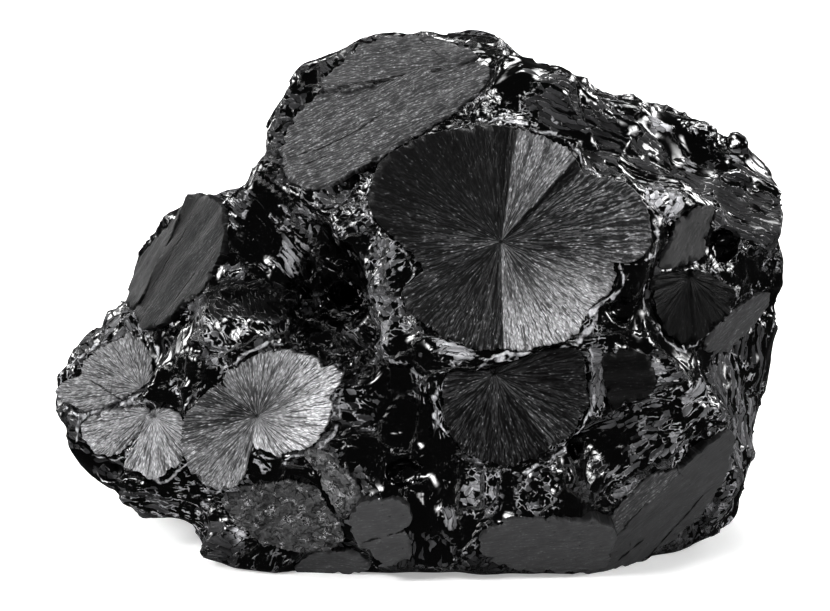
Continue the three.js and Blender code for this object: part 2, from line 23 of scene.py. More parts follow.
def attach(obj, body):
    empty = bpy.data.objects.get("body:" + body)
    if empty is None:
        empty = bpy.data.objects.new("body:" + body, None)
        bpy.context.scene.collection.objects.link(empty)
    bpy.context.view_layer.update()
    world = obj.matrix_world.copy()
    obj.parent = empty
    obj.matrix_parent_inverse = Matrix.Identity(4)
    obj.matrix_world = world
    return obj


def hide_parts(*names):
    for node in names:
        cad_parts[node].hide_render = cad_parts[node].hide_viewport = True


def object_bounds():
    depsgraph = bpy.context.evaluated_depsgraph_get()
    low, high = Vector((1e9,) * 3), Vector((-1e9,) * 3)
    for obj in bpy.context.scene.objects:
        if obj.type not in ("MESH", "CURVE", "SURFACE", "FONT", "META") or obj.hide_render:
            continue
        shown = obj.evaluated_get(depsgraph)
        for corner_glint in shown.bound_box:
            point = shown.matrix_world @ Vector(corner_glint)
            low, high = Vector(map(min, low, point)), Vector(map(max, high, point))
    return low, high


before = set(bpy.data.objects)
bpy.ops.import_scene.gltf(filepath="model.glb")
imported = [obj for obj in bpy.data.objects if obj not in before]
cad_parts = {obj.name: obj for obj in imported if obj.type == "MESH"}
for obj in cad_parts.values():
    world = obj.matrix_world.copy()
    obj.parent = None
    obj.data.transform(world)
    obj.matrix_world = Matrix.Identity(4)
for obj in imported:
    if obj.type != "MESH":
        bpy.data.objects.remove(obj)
CAD_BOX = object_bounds()

LOG = logging.getLogger("graphite_specimen")

NODE = "graphite_specimen"
BODY = "root"

MM = 0.001
DATUM = Vector((0.11, 0.16, 0.0))  # where the drawing's origin lies in the model's frame
MIDDLE = Vector((0.5, 0.5, 0.5))  # of three random numbers from 0 to 1
UV_SPAN = 60.0  # millimetres of a crystal face that its UV map covers
FARTHEST = 3.0  # millimetres beyond which a crack or a pale crest of painted highlight isn't measured
SAME_PLACE = 1e-6  # vertices nearer to each other than this are one
SCREEN_GAMMA = 2.2  # from a grey as it is seen to its reflectance
WHITE = (1.0, 1.0, 1.0, 1.0)
CURVE_STEPS = 6  # points of an outline's curve for each of its corners
SCOOP_LOT = 17.3  # a cell's centre times this draws the tilt of its scoop
PATCH_LOT = 31.7  # a cell's centre times this draws the look of its patch
DRIFTS = tuple(Vector(shift) for shift in ((9.3, -1.5, -7.9), (-4.7, 7.2, 2.6), (3.8, 5.1, -6.4)))

Pair = tuple[float, float]
Place = tuple[float, float, float]
Pairs = Sequence[Pair]


# ---- Small tools ---------------------------------------------------------------------------


def smooth_share(value: float, low: float, high: float) -> float:
    """A smooth step from 0 at low to 1 at high.

    Args:
        value: The number that is looked at.
        low: Where the step starts.
        high: Where the step ends.

    Returns:
        The share from 0 to 1.
    """
    share = min(max((value - low) / (high - low), 0.0), 1.0)
    return share * share * (3.0 - 2.0 * share)


def facing(turn: float, rise: float) -> Vector:
    """Unit vector that looks turn degrees right of the front and rise degrees above level."""
    across, above = math.radians(turn), math.radians(rise)
    level = math.cos(above)
    return Vector((math.sin(across) * level, -math.cos(across) * level, math.sin(above)))


def to_model(point: Sequence[float]) -> Vector:
    """A point of the drawing, in millimetres, as a point of the model, in metres."""
    return (Vector(point) + DATUM) * MM


def closed_curve(points: Pairs, steps: int) -> np.ndarray:
    """Points along a smooth closed curve through the given ones.

    Args:
        points: Corners of an outline, in order.
        steps: Points that are made for each corner.

    Returns:
        An array of x and y, one row for each point.
    """
    corners = np.array(points, float)
    before, after, beyond = (np.roll(corners, shift, axis=0) for shift in (1, -1, -2))
    rows = []
    for share in np.arange(steps) / steps:
        first = corners * 2.0 + (after - before) * share
        second = (before * 2.0 - corners * 5.0 + after * 4.0 - beyond) * share**2
        third = (corners * 3.0 - before - after * 3.0 + beyond) * share**3
        rows.append((first + second + third) / 2.0)
    return np.stack(rows, axis=1).reshape(-1, 2)


def rim_radius(points: Pairs, angles: np.ndarray) -> np.ndarray:
    """How far an outline lies from its centre in each direction.

    Args:
        points: Corners of the outline, seen from the centre one after the other.
        angles: Directions in radians.

    Returns:
        The radius in each direction.
    """
    curve = closed_curve(points, CURVE_STEPS)
    turned = np.arctan2(curve[:, 1], curve[:, 0])
    order = np.argsort(turned)
    reach = np.hypot(curve[:, 0], curve[:, 1])
    return np.interp(angles, turned[order], reach[order], period=2.0 * math.pi)


def off_line(point: Vector, start: Vector, end: Vector) -> float:
    """Distance of a point from a straight line.

    Args:
        point: The point, in two or three numbers, as the others.
        start: Where the line starts.
        end: Where the line ends, which may be its start.

    Returns:
        The distance to the nearest point of the line.
    """
    run, away = end - start, point - start
    share = min(max(away.dot(run) / max(run.length_squared, 1e-9), 0.0), 1.0)
    return (away - run * share).length


def nearest_line(point: Vector, lines: Sequence[tuple]) -> float:
    """How far the nearest of some lines is from a point, or FARTHEST where none is nearer."""
    return min([FARTHEST] + [off_line(point, Vector(start), Vector(end)) for start, end in lines])


def soft_drift(point: Vector) -> Vector:
    """Three soft noises over a point, each from -1 to 1, which are the same in every run."""
    return Vector([noise.noise(point + shift) for shift in DRIFTS])


def shell_scoop(point: Vector, size: float, bowl: float, lean: float) -> float:
    """Height of a surface broken into shell-like scoops, each leaning its own way.

    Args:
        point: Where the height is wanted.
        size: Spacing of the scoops.
        bowl: Depth of a scoop as a share of its size.
        lean: How steeply a scoop is tilted as a whole.

    Returns:
        The height in the units of point.
    """
    place = point / size
    distances, centres = noise.voronoi(place)
    heights = []
    for distance, centre in zip(distances[:2], centres[:2]):
        tilt = noise.cell_vector(centre * SCOOP_LOT) - MIDDLE
        heights.append(bowl * (distance * distance - 0.35) + lean * (place - centre).dot(tilt))
    share = 0.5 + 0.5 * smooth_share(distances[1] - distances[0], 0.0, 0.22)
    return size * (heights[0] * share + heights[1] * (1.0 - share))


def patch_lot(centre: Vector) -> Vector:
    """Three random numbers from 0 to 1 for the cell with the given centre."""
    return noise.cell_vector(centre * PATCH_LOT)


def linked(name: str, data: ID) -> Object:
    """A new object of a mesh, a light or a camera, in the scene."""
    thing = bpy.data.objects.new(name, data)
    bpy.context.scene.collection.objects.link(thing)
    return thing


def place_facing(thing: Object, place: Vector, way: Vector) -> None:
    """Puts a light or a camera at a place of the model, so that it looks the given way."""
    thing.location = place
    thing.rotation_euler = way.to_track_quat("-Z", "Y").to_euler()


def linked_mesh(name: str, shape: BMesh, material: Material) -> Object:
    """Makes an object in the scene from a bmesh.

    Args:
        name: The object's name.
        shape: Its mesh, in metres, which is freed.
        material: Its one material.

    Returns:
        The object.
    """
    mesh = bpy.data.meshes.new(name)
    shape.to_mesh(mesh)
    shape.free()
    mesh.materials.append(material)
    return linked(name, mesh)


def float_layers(shape: BMesh, *names: str) -> list[BMLayerItem]:
    """New attributes of one number for each vertex, by name."""
    return [shape.verts.layers.float.new(name) for name in names]


def new_piece(name: str, shape: BMesh, material: Material) -> Object:
    """Turns a bmesh into a finished piece of the specimen.

    Args:
        name: The piece's name.
        shape: Its mesh, in metres, which is freed.
        material: What it is made of.

    Returns:
        The linked object.
    """
    piece = linked_mesh(name, shape, material)
    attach(piece, BODY)
    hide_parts(NODE)
    LOG.info("%s: %d faces", name, len(piece.data.polygons))
    return piece


# ---- Shader maths ----------------------------------------------------------------------------

Number = Union[int, float]
Setting = Union[str, bool]
Output = Union[int, str]
Operand = Union["Value", Number]


class Value:
    """A shader value: Python's operators on it add Math or Vector Math nodes to its tree."""

    def __init__(self, tree: NodeTree, socket: NodeSocket) -> None:
        """Wraps one output socket of a node tree."""
        self.tree = tree
        self.socket = socket

    @property
    def is_vector(self) -> bool:
        """Whether the value is a vector or a colour."""
        return self.socket.type in {"VECTOR", "RGBA"}

    def other(self, name: str) -> "Value":
        """Another output of the node that this value comes from."""
        return Value(self.tree, self.socket.node.outputs[name])

    def node(self, kind: str, settings: dict, sockets: dict, output: Output = 0) -> "Value":
        """Adds a node to this value's tree. See add_node."""
        return add_node(self.tree, kind, settings, sockets, output)

    def _math(self, operation: str, *values: Operand) -> "Value":
        """Adds a Math node, or a Vector Math node where one of the values is a vector.

        Args:
            operation: The node's operation.
            *values: What it works on, in order.

        Returns:
            The result.
        """
        vector = any(isinstance(value, Value) and value.is_vector for value in values)
        kind = "ShaderNodeVectorMath" if vector else "ShaderNodeMath"
        ready = [
            (value,) * 3 if vector and not isinstance(value, Value) else value for value in values
        ]
        return self.node(kind, {"operation": operation}, dict(enumerate(ready)))

    def __add__(self, other: Operand) -> "Value":
        """Sum."""
        return self._math("ADD", self, other)

    __radd__ = __add__

    def __sub__(self, other: Operand) -> "Value":
        """Difference."""
        return self._math("SUBTRACT", self, other)

    def __rsub__(self, other: Operand) -> "Value":
        """Difference from a number."""
        return self._math("SUBTRACT", other, self)

    def __mul__(self, other: Operand) -> "Value":
        """Product."""
        return self._math("MULTIPLY", self, other)

    __rmul__ = __mul__

    def __truediv__(self, other: Operand) -> "Value":
        """Quotient."""
        return self._math("DIVIDE", self, other)

    def __pow__(self, other: Operand) -> "Value":
        """Power."""
        return self._math("POWER", self, other)

    def highest(self, other: Operand) -> "Value":
        """The larger of two values."""
        return self._math("MAXIMUM", self, other)

    def _vector_math(self, operation: str, sockets: dict, output: Output = 0) -> "Value":
        """A Vector Math node on this vector."""
        settings = {"operation": operation}
        return self.node("ShaderNodeVectorMath", settings, {0: self, **sockets}, output)

    def length(self) -> "Value":
        """Length of a vector."""
        return self._vector_math("LENGTH", {}, "Value")

    def direction(self) -> "Value":
        """Unit vector along a vector."""
        return self._vector_math("NORMALIZE", {})

    def along(self, other: "Value") -> "Value":
        """Dot product of two vectors."""
        return self._vector_math("DOT_PRODUCT", {1: other}, "Value")

    def scaled(self, factor: "Value") -> "Value":
        """A vector times a number."""
        return self._vector_math("SCALE", {"Scale": factor})

    def step(self, low: float, high: float) -> "Value":
        """A smooth step from 0 at low to 1 at high."""
        sockets = {"Value": self, "From Min": low, "From Max": high}
        return self.node("ShaderNodeMapRange", {"interpolation_type": "SMOOTHSTEP"}, sockets)

    def parts(self) -> tuple["Value", "Value", "Value"]:
        """The three numbers of a vector."""
        first = self.node("ShaderNodeSeparateXYZ", {}, {0: self}, "X")
        return first, first.other("Y"), first.other("Z")

    def noise(
        self, scale: float, detail: float, output: Output = "Fac", **settings: Setting
    ) -> "Value":
        """Soft noise over this vector."""
        sockets = {"Vector": self, "Scale": scale, "Detail": detail}
        return self.node("ShaderNodeTexNoise", settings, sockets, output)

    def ridges(self, scale: float, detail: float) -> "Value":
        """Sharp winding crests over this vector."""
        return self.noise(scale, detail, noise_type="RIDGED_MULTIFRACTAL", normalize=True)

    def cells(self, scale: float, output: Output = "Distance", **settings: Setting) -> "Value":
        """Distance to the nearest of one point per cell over this vector."""
        sockets = {"Vector": self, "Scale": scale}
        return self.node("ShaderNodeTexVoronoi", settings, sockets, output)

    def borders(self, scale: float) -> "Value":
        """Distance to the nearest border between the cells over this vector."""
        return self.cells(scale, feature="DISTANCE_TO_EDGE")

    def shards(self, scale: float) -> tuple["Value", "Value", "Value", "Value"]:
        """Flat shards over this vector, each tilted its own way.

        Args:
            scale: Shards per unit of the vector.

        Returns:
            The height of the shard's plane, two random numbers for each shard, and how far the
            nearest crack between shards is, in shards.
        """
        chance = self.cells(scale, "Color")
        lean = (self - chance.other("Position")).along(chance - 0.5)
        _, luck, tint = chance.parts()
        return lean, luck, tint, self.borders(scale)


def fill_sockets(node: Node, sockets: dict) -> None:
    """Sets or links inputs of a shader node.

    Args:
        node: The node.
        sockets: Values or links of its inputs, by name or place.
    """
    for name, content in sockets.items():
        if isinstance(content, Value):
            node.id_data.links.new(content.socket, node.inputs[name])
        else:
            node.inputs[name].default_value = content


def add_node(
    tree: NodeTree, kind: str, settings: dict, sockets: dict, output: Output = 0
) -> Value:
    """Adds one shader node.

    Args:
        tree: The node tree.
        kind: The node's type.
        settings: Its properties, which are set first.
        sockets: Values or links of its inputs, by name or place.
        output: The output that is returned.

    Returns:
        That output as a Value.
    """
    node = tree.nodes.new(kind)
    for name, setting in settings.items():
        setattr(node, name, setting)
    fill_sockets(node, sockets)
    return Value(tree, node.outputs[output])


def joined(tree: NodeTree, x: Operand, y: Operand, z: Operand) -> Value:
    """A vector from three numbers."""
    return add_node(tree, "ShaderNodeCombineXYZ", {}, {"X": x, "Y": y, "Z": z})


def blended(share: Value, first: Operand, second: Operand) -> Value:
    """Mix of two numbers: the first where share is 0."""
    return share.node("ShaderNodeMix", {"data_type": "FLOAT"}, {0: share, 2: first, 3: second})


@dataclass
class Surface:
    """A new material with one Principled shader whose sockets are set by name."""

    name: str
    material: Material = field(init=False)
    tree: NodeTree = field(init=False)
    shader: Node = field(init=False)

    def __post_init__(self) -> None:
        """Makes the material and its shader."""
        self.material = bpy.data.materials.new(self.name)
        self.material.use_nodes = True
        self.tree = self.material.node_tree
        self.shader = self.tree.nodes["Principled BSDF"]

    def set(self, **sockets: Union[Value, Number, tuple]) -> None:
        """Sets or links sockets of the shader; an underscore in a name stands for a space."""
        spaced = {name.replace("_", " "): content for name, content in sockets.items()}
        fill_sockets(self.shader, spaced)

    def object_place(self) -> Value:
        """Object coordinates in millimetres."""
        place = add_node(self.tree, "ShaderNodeTexCoord", {}, {}, "Object")
        return place * (1.0 / MM)

    def face_place(self) -> Value:
        """Place in a crystal face's own plane, in millimetres from its centre."""
        chart = add_node(self.tree, "ShaderNodeTexCoord", {}, {}, "UV")
        middle = joined(self.tree, UV_SPAN / 2.0, UV_SPAN / 2.0, 0.0)
        return chart * UV_SPAN - middle

    def attribute(self, name: str, output: str = "Fac") -> Value:
        """A number or a vector that the piece's own mesh carries."""
        return add_node(self.tree, "ShaderNodeAttribute", {"attribute_name": name}, {}, output)

    def grey(self, level: Operand, warmth: float) -> Value:
        """A grey of a linear level, a little bluer than neutral where warmth is under 1."""
        channels = {"Red": level * warmth, "Green": level * warmth, "Blue": level}
        return add_node(self.tree, "ShaderNodeCombineColor", {}, channels)

    def bump(self, height: Value, depth: float) -> None:
        """Links a bump of the given height map, at most depth millimetres, to the normal."""
        sockets = {"Height": height, "Distance": depth * MM, "Strength": 1.0}
        self.set(Normal=add_node(self.tree, "ShaderNodeBump", {}, sockets))

    def overlay(self, share: Value, **sockets: Number) -> None:
        """Lays a second shader over the first, with the same colour and normal.

        Args:
            share: How far the second shader covers the first, from 0 to 1.
            **sockets: The second shader's own settings, named as in set.
        """
        shared = {}
        for name in ("Base Color", "Normal"):
            for link in self.shader.inputs[name].links:
                shared[name] = Value(self.tree, link.from_socket)
        first = Value(self.tree, self.shader.outputs[0])
        second = add_node(self.tree, "ShaderNodeBsdfPrincipled", {}, shared)
        self.shader = second.socket.node
        self.set(**sockets)
        mix = add_node(self.tree, "ShaderNodeMixShader", {}, {0: share, 1: first, 2: second})
        self.tree.links.new(mix.socket, self.tree.nodes["Material Output"].inputs["Surface"])


# ---- Finishes --------------------------------------------------------------------------------


@dataclass(frozen=True)
class GlassFinish:
    """Black vitreous matrix: scooped by fracture, glassy, with dull grey flakes and pale crests.

    Each flake carries painted shading, and the pale crests are painted highlights.
    Scales are in cells or waves per millimetre.
    """

    slot: str = "glassy_matrix"
    refraction: float = 1.62
    soot: float = 0.0003  # reflectance of the bare glass
    sheen_roughness: float = 0.06
    dull_roughness: float = 0.5
    dull_gloss: float = 0.05
    warmth: float = 0.96
    crest_glint: float = 0.8  # reflectance of a pale crest, a painted highlight
    depth: float = 0.6  # of the fracture relief, in millimetres
    wander: float = 2.2  # how far fracture strays, in millimetres
    scoop_scale: float = 0.42
    speck_scale: float = 1.15
    flake_scale: float = 1.6
    fold_scale: float = 0.3
    streak_scale: float = 1.8
    grain_scale: float = 3.2

    def material(self) -> Material:
        """Makes the material.

        Returns:
            The finish as a material.
        """
        surface = Surface("black_glass")
        crinkle, dull = surface.attribute("crinkle"), surface.attribute("dull")
        tone, flow = surface.attribute("tone"), surface.attribute("flow", "Vector")
        place = surface.object_place()

        # Fracture strays, and is drawn out along the flow.
        strayed = place + (place.noise(0.25, 2.0, "Color") - 0.5) * self.wander
        drawn = strayed - flow.direction().scaled(strayed.along(flow))
        scoop = drawn.cells(self.scoop_scale)
        lot = scoop.other("Color").parts()[0]
        speck = drawn.cells(self.speck_scale)
        folds = drawn.ridges(self.fold_scale, 2.0)
        streak = drawn.noise(self.streak_scale, 4.0)
        grain = place.noise(self.grain_scale, 4.0)

        # A flake is dull where chance and the matrix's own dullness say so.
        ragged = drawn + (place.noise(1.6, 2.0, "Color") - 0.5) * 0.2
        lean, luck, tint, crack = ragged.shards(self.flake_scale)
        flake = (dull + (lot - 0.5) * 0.35 + (luck - 0.5) * 0.95).step(0.55, 0.59)
        flake = flake * crack.step(0.015, 0.07)

        # Painted highlights: pale crests run along the seams, and as a net between flakes; the bump
        # raises them a little as well.
        glint_thread = surface.attribute("glint_seam") + (place.noise(1.1, 3.0) - 0.5) * 0.35
        crest_glint = glint_thread.step(0.26, 0.08) * place.noise(0.5, 2.0).step(0.36, 0.46)
        net_glint = crack.step(0.11, 0.04) * (crinkle + dull * 0.5).step(0.6, 1.0)
        net_glint = net_glint * place.noise(0.8, 2.0).step(0.5, 0.6)
        rim = crest_glint.highest(net_glint * 0.7) * (1.0 - flake * 0.5)

        height = scoop**2.0 * (0.2 + 0.35 * crinkle) + speck**2.0 * (0.18 * crinkle)
        height = (height + folds * (0.04 + 0.5 * crinkle)) * (1.0 - 0.6 * flake)
        height = height + (lean * 0.9 + grain * 0.05 + streak * 0.25) * flake
        surface.bump(height + lean * (0.35 * crinkle) + rim * 0.3, self.depth)

        level = tone * (0.3 + 0.4 * lot + 0.9 * tint) * (1.6 * streak) * (0.6 + 0.8 * grain)
        # Painted shading: a flake is paler where its tilted plane stands higher and darker where it
        # sinks; the pale crests add painted highlights.
        level = level * (1.1 + 2.4 * lean).highest(0.1) * flake + rim * (self.crest_glint * grain)
        surface.set(Base_Color=surface.grey(self.soot + level, self.warmth))
        surface.set(Roughness=self.sheen_roughness, IOR=self.refraction)
        surface.overlay(flake, Roughness=self.dull_roughness, Specular_IOR_Level=self.dull_gloss)
        return surface.material


@dataclass(frozen=True)
class BristleFinish:
    """Graphite of short fibres that lie side by side: what a fan and a cleavage plate share."""

    slot: str = "platy_graphite"
    refraction: float = 1.45
    reflection: float = 0.16  # the shader's specular level
    gloss: float = 0.42
    warmth: float = 0.975
    sparkle: float = 0.13  # reflectance of the painted glint that a bright fibre adds
    depth: float = 0.07  # of the fibre relief, in millimetres
    fibre: Pair = (2.4, 5.2)  # fibres in a millimetre, along and across
    streak: Pair = (0.6, 5.0)  # streaks in a millimetre, along and across

    def material(self) -> Material:
        """Makes the material.

        Returns:
            The finish as a material.
        """
        surface = Surface(self.slot)
        place = surface.face_place()
        tone, grit = surface.attribute("tone"), surface.attribute("grit")
        gap, luck, hair = self._bristles(surface, place)
        clouds = place.noise(0.5, 3.0)
        grain = place.noise(5.0, 3.0)

        # Fibres differ most where the face is dark, and are parted by cracks where it is pale.
        pale = tone.step(0.03, 0.16)
        crack = hair.step(0.49, 0.4)
        strand = 0.2 + 2.2 * hair.step(0.45, 0.58)
        spread = blended(pale, (0.3 + 1.4 * luck) * strand, 0.95 + 0.75 * luck)
        even = spread * (1.0 - 0.75 * crack * pale) * (1.0 - 0.5 * gap.step(0.36, 0.6))
        level = tone * blended(grit, 1.0, even) * (0.65 + 0.7 * clouds)

        # Painted glints: the middle of a lucky fibre sparkles in its colour and is a little
        # glossier, and a smooth plate has small pits instead.
        core = gap.step(0.36, 0.16) * hair.step(0.4, 0.5)
        glint_fleck = luck.step(0.64, 0.9) * core * grit
        pit = place.noise(1.7, 3.0).step(0.36, 0.28) * (1.0 - grit)
        glint = (self.sparkle * tone.step(-0.008, 0.03) + tone * 0.8) * (1.0 - 0.5 * pale)
        level = level * (1.0 - 0.7 * pit) + glint_fleck * glint

        crease = surface.attribute("crease") + (place.noise(0.9, 3.0) - 0.5) * 0.5
        open_crease = crease.step(0.16, 0.04)
        level = level * (1.0 - 0.9 * open_crease)
        surface.set(Base_Color=surface.grey(level, self.warmth))
        surface.set(Roughness=self.gloss - 0.14 * glint_fleck + 0.14 * crack)
        surface.set(IOR=self.refraction, Specular_IOR_Level=self.reflection)
        fibres = (0.4 - 0.4 * gap + 1.6 * hair) * grit
        surface.bump(fibres + 0.3 * grain - 0.8 * pit - 3.0 * open_crease, self.depth)
        return surface.material

    def _bristles(self, surface: Surface, place: Value) -> tuple[Value, Value, Value]:
        """Fibres drawn out along the first axis of a face.

        Args:
            surface: The material that they are for.
            place: Place in the face's plane.

        Returns:
            The distance from a fibre's middle, a random number for each fibre, and soft streaks.
        """
        strayed = place + (place.noise(0.4, 2.0, "Color") - 0.5) * 0.8
        x, y, _ = strayed.parts()
        gap, hair = (
            joined(surface.tree, x * along, y * across, 0.0)
            for along, across in (self.fibre, self.streak)
        )
        gap = gap.cells(1.0)
        return gap, gap.other("Color").parts()[0], hair.noise(1.0, 3.0)


@dataclass(frozen=True)
class FibreFinish(BristleFinish):
    """Silky graphite whose fibres run out from the face's centre."""

    slot: str = "fibrous_graphite"
    sparkle: float = 0.22
    length: float = 0.6  # of a fibre, in millimetres
    hub: Pair = (0.05, 0.3)  # radii over which the streaks begin
    inner: float = 17.0  # fibres around the innermost ring
    rounds: tuple[Place, ...] = (
        (36.0, 3.0, 4.2),
        (66.0, 7.0, 9.0),
    )  # fibres around each further ring, and the radii over which it takes over

    def _bristles(self, surface: Surface, place: Value) -> tuple[Value, Value, Value]:
        """Fibres of even size that run out from the face's centre.

        Args:
            surface: The material that they are for.
            place: Place in the face's plane.

        Returns:
            The distance from a fibre's middle, a random number for each fibre, and soft streaks.
        """
        reach = place.length()
        spoke = place.direction() + (place.noise(0.7, 2.0, "Color") - 0.5) * 0.05
        looks = self._ring(surface, spoke * self.inner, reach)
        for around, start, end in self.rounds:
            share = reach.step(start, end)
            ring = self._ring(surface, spoke * around, reach)
            looks = [blended(share, *pair) for pair in zip(looks, ring)]
        gap, luck, hair = looks
        return gap, luck, hair * reach.step(*self.hub)

    def _ring(self, surface: Surface, spoke: Value, reach: Value) -> list[Value]:
        """What _bristles gives, for one number of fibres around the centre.

        Args:
            surface: The material that they are for.
            spoke: The way out from the centre, as long as the fibres around it are many.
            reach: Distance from the centre.

        Returns:
            The same three values as _bristles.
        """
        x, y, _ = spoke.parts()
        gap = joined(surface.tree, x, y, reach / self.length).cells(1.0)
        hair = joined(surface.tree, x, y, reach * 0.45).noise(0.8, 2.0)
        return [gap, gap.other("Color").parts()[0], hair]


@dataclass(frozen=True)
class CrumbFinish(BristleFinish):
    """Graphite of small flat crumbs that lie every which way, with painted glints at bright
    corners.
    """

    reflection: float = 0.25
    warmth: float = 0.98
    sparkle: float = 0.34  # reflectance of the painted glint at a bright corner
    depth: float = 0.5  # of the crumbs' relief, in millimetres
    crumb_scale: float = 0.75  # crumbs in a millimetre
    grit_scale: float = 1.9  # grains in a millimetre

    def material(self) -> Material:
        """Makes the material.

        Returns:
            The finish as a material.
        """
        surface = Surface("crumbs")
        place = surface.face_place()
        x, y, z = (place + (place.noise(0.9, 3.0, "Color") - 0.5) * 1.2).parts()
        crumbs = joined(surface.tree, x, y * 1.8, z)
        grains = joined(surface.tree, x * 1.2, y * 1.6, z)
        lean, luck, _, crack = crumbs.shards(self.crumb_scale)
        fine, chance, _, split = grains.shards(self.grit_scale)
        grain = place.noise(3.0, 4.0)
        gully = crack.step(0.07, 0.02) * place.noise(0.7, 2.0).step(0.42, 0.55)
        corner_glint = split.step(0.12, 0.03) * chance.step(0.5, 0.8)
        corner_glint = corner_glint * place.noise(0.6, 2.0).step(0.48, 0.6)
        tone = surface.attribute("tone")
        level = tone * (0.35 + 0.8 * luck + 0.5 * chance) * (0.3 + 1.3 * grain)
        # Painted shading: a crumb is paler where its tilted plane stands higher; bright corners add
        # painted glints.
        level = level * (1.0 + 0.7 * lean + 0.4 * fine).highest(0.3)
        level = level * (1.0 - 0.85 * gully) + corner_glint * self.sparkle
        surface.set(Base_Color=surface.grey(level, self.warmth))
        surface.set(Roughness=self.gloss - 0.1 * corner_glint + 0.2 * gully)
        surface.set(IOR=self.refraction, Specular_IOR_Level=self.reflection)
        surface.bump(lean * 0.7 + fine * 0.4 + grain * 0.3 - gully * 0.8, self.depth)
        return surface.material


@dataclass(frozen=True)
class FloorFinish:
    """Plain white studio floor."""

    shade: float = 0.9
    roughness: float = 0.9
    glow: float = 0.35

    def material(self) -> Material:
        """Makes the material.

        Returns:
            The finish as a material.
        """
        surface = Surface("studio_floor")
        mottle = 0.01 * surface.object_place().noise(0.02, 2.0)
        surface.set(Base_Color=surface.grey(self.shade + mottle, 1.0), Roughness=self.roughness)
        surface.set(Emission_Color=WHITE, Emission_Strength=self.glow)
        return surface.material


# ---- Crystal faces ---------------------------------------------------------------------------


class FaceKind(Enum):
    """What a crystal face is made of."""

    FAN = "fan"
    PLATE = "plate"
    GRAIN = "grain"


@dataclass(frozen=True)
class FacePlan:
    """Where a crystal face lies and what it looks like.

    centre, turn and rise place its plane as the solid has it. outline is its edge in that plane,
    across and up. tones are [angle, grey near the centre, grey at the rim] in degrees
    anticlockwise, and lifts are [from, to, height] of wedges that stand out. These greys hold
    painted light and shade with the face's own grey: a fan's bright and dark sectors are its
    painted sheen, and a face is set paler or darker for how it is lit. grain turns the striations
    of a plate, and grit from 0 to 1 says how strongly its fibres show. creases are straight
    cracks in the plane, from x and y to x and y. hub is where a fan's fibres start.
    """

    name: str
    kind: FaceKind
    centre: Place
    turn: float
    rise: float
    outline: Pairs
    tones_and_sheen: Sequence[Place]
    lifts: Sequence[Place] = ()
    grain: float = 0.0
    grit: float = 1.0
    creases: Sequence[tuple[float, float, float, float]] = ()
    hub: Pair = (0.0, 0.0)

    @property
    def out(self) -> Vector:
        """The way the face looks."""
        return facing(self.turn, self.rise)

    def axes(self) -> tuple[Vector, Vector, Vector]:
        """The face's level direction, its upward direction and its normal."""
        across = Vector((0.0, 0.0, 1.0)).cross(self.out).normalized()
        return across, self.out.cross(across), self.out

    def lift_at(self, angle: float) -> float:
        """How far the face stands out at an angle in degrees."""
        lifts = [lift for start, end, lift in self.lifts if (angle - start) % 360.0 <= end - start]
        return max(lifts, default=0.0)

    def crease_at(self, x: float, y: float) -> float:
        """How far the nearest crack is from a point of the plane, in millimetres."""
        return nearest_line(Vector((x, y)), [(line[:2], line[2:]) for line in self.creases])

    def tone_at(self, angle: float, share: float) -> float:
        """The grey of the face at a point, with its painted sheen and shade.

        Args:
            angle: Direction from the face's centre, in degrees.
            share: How far out the point is, from 0 at the centre to 1 at the rim.

        Returns:
            The grey.
        """
        angles, *greys = zip(*self.tones_and_sheen)
        near, rim = (np.interp(angle, angles, row, period=360.0) for row in greys)
        return float(near + (rim - near) * smooth_share(share, 0.15, 0.9))


def even(grey: float) -> tuple[Place, ...]:
    """The tones of a face that is one grey all over."""
    return ((0.0, grey, grey),)


FAN, PLATE, GRAIN = FaceKind

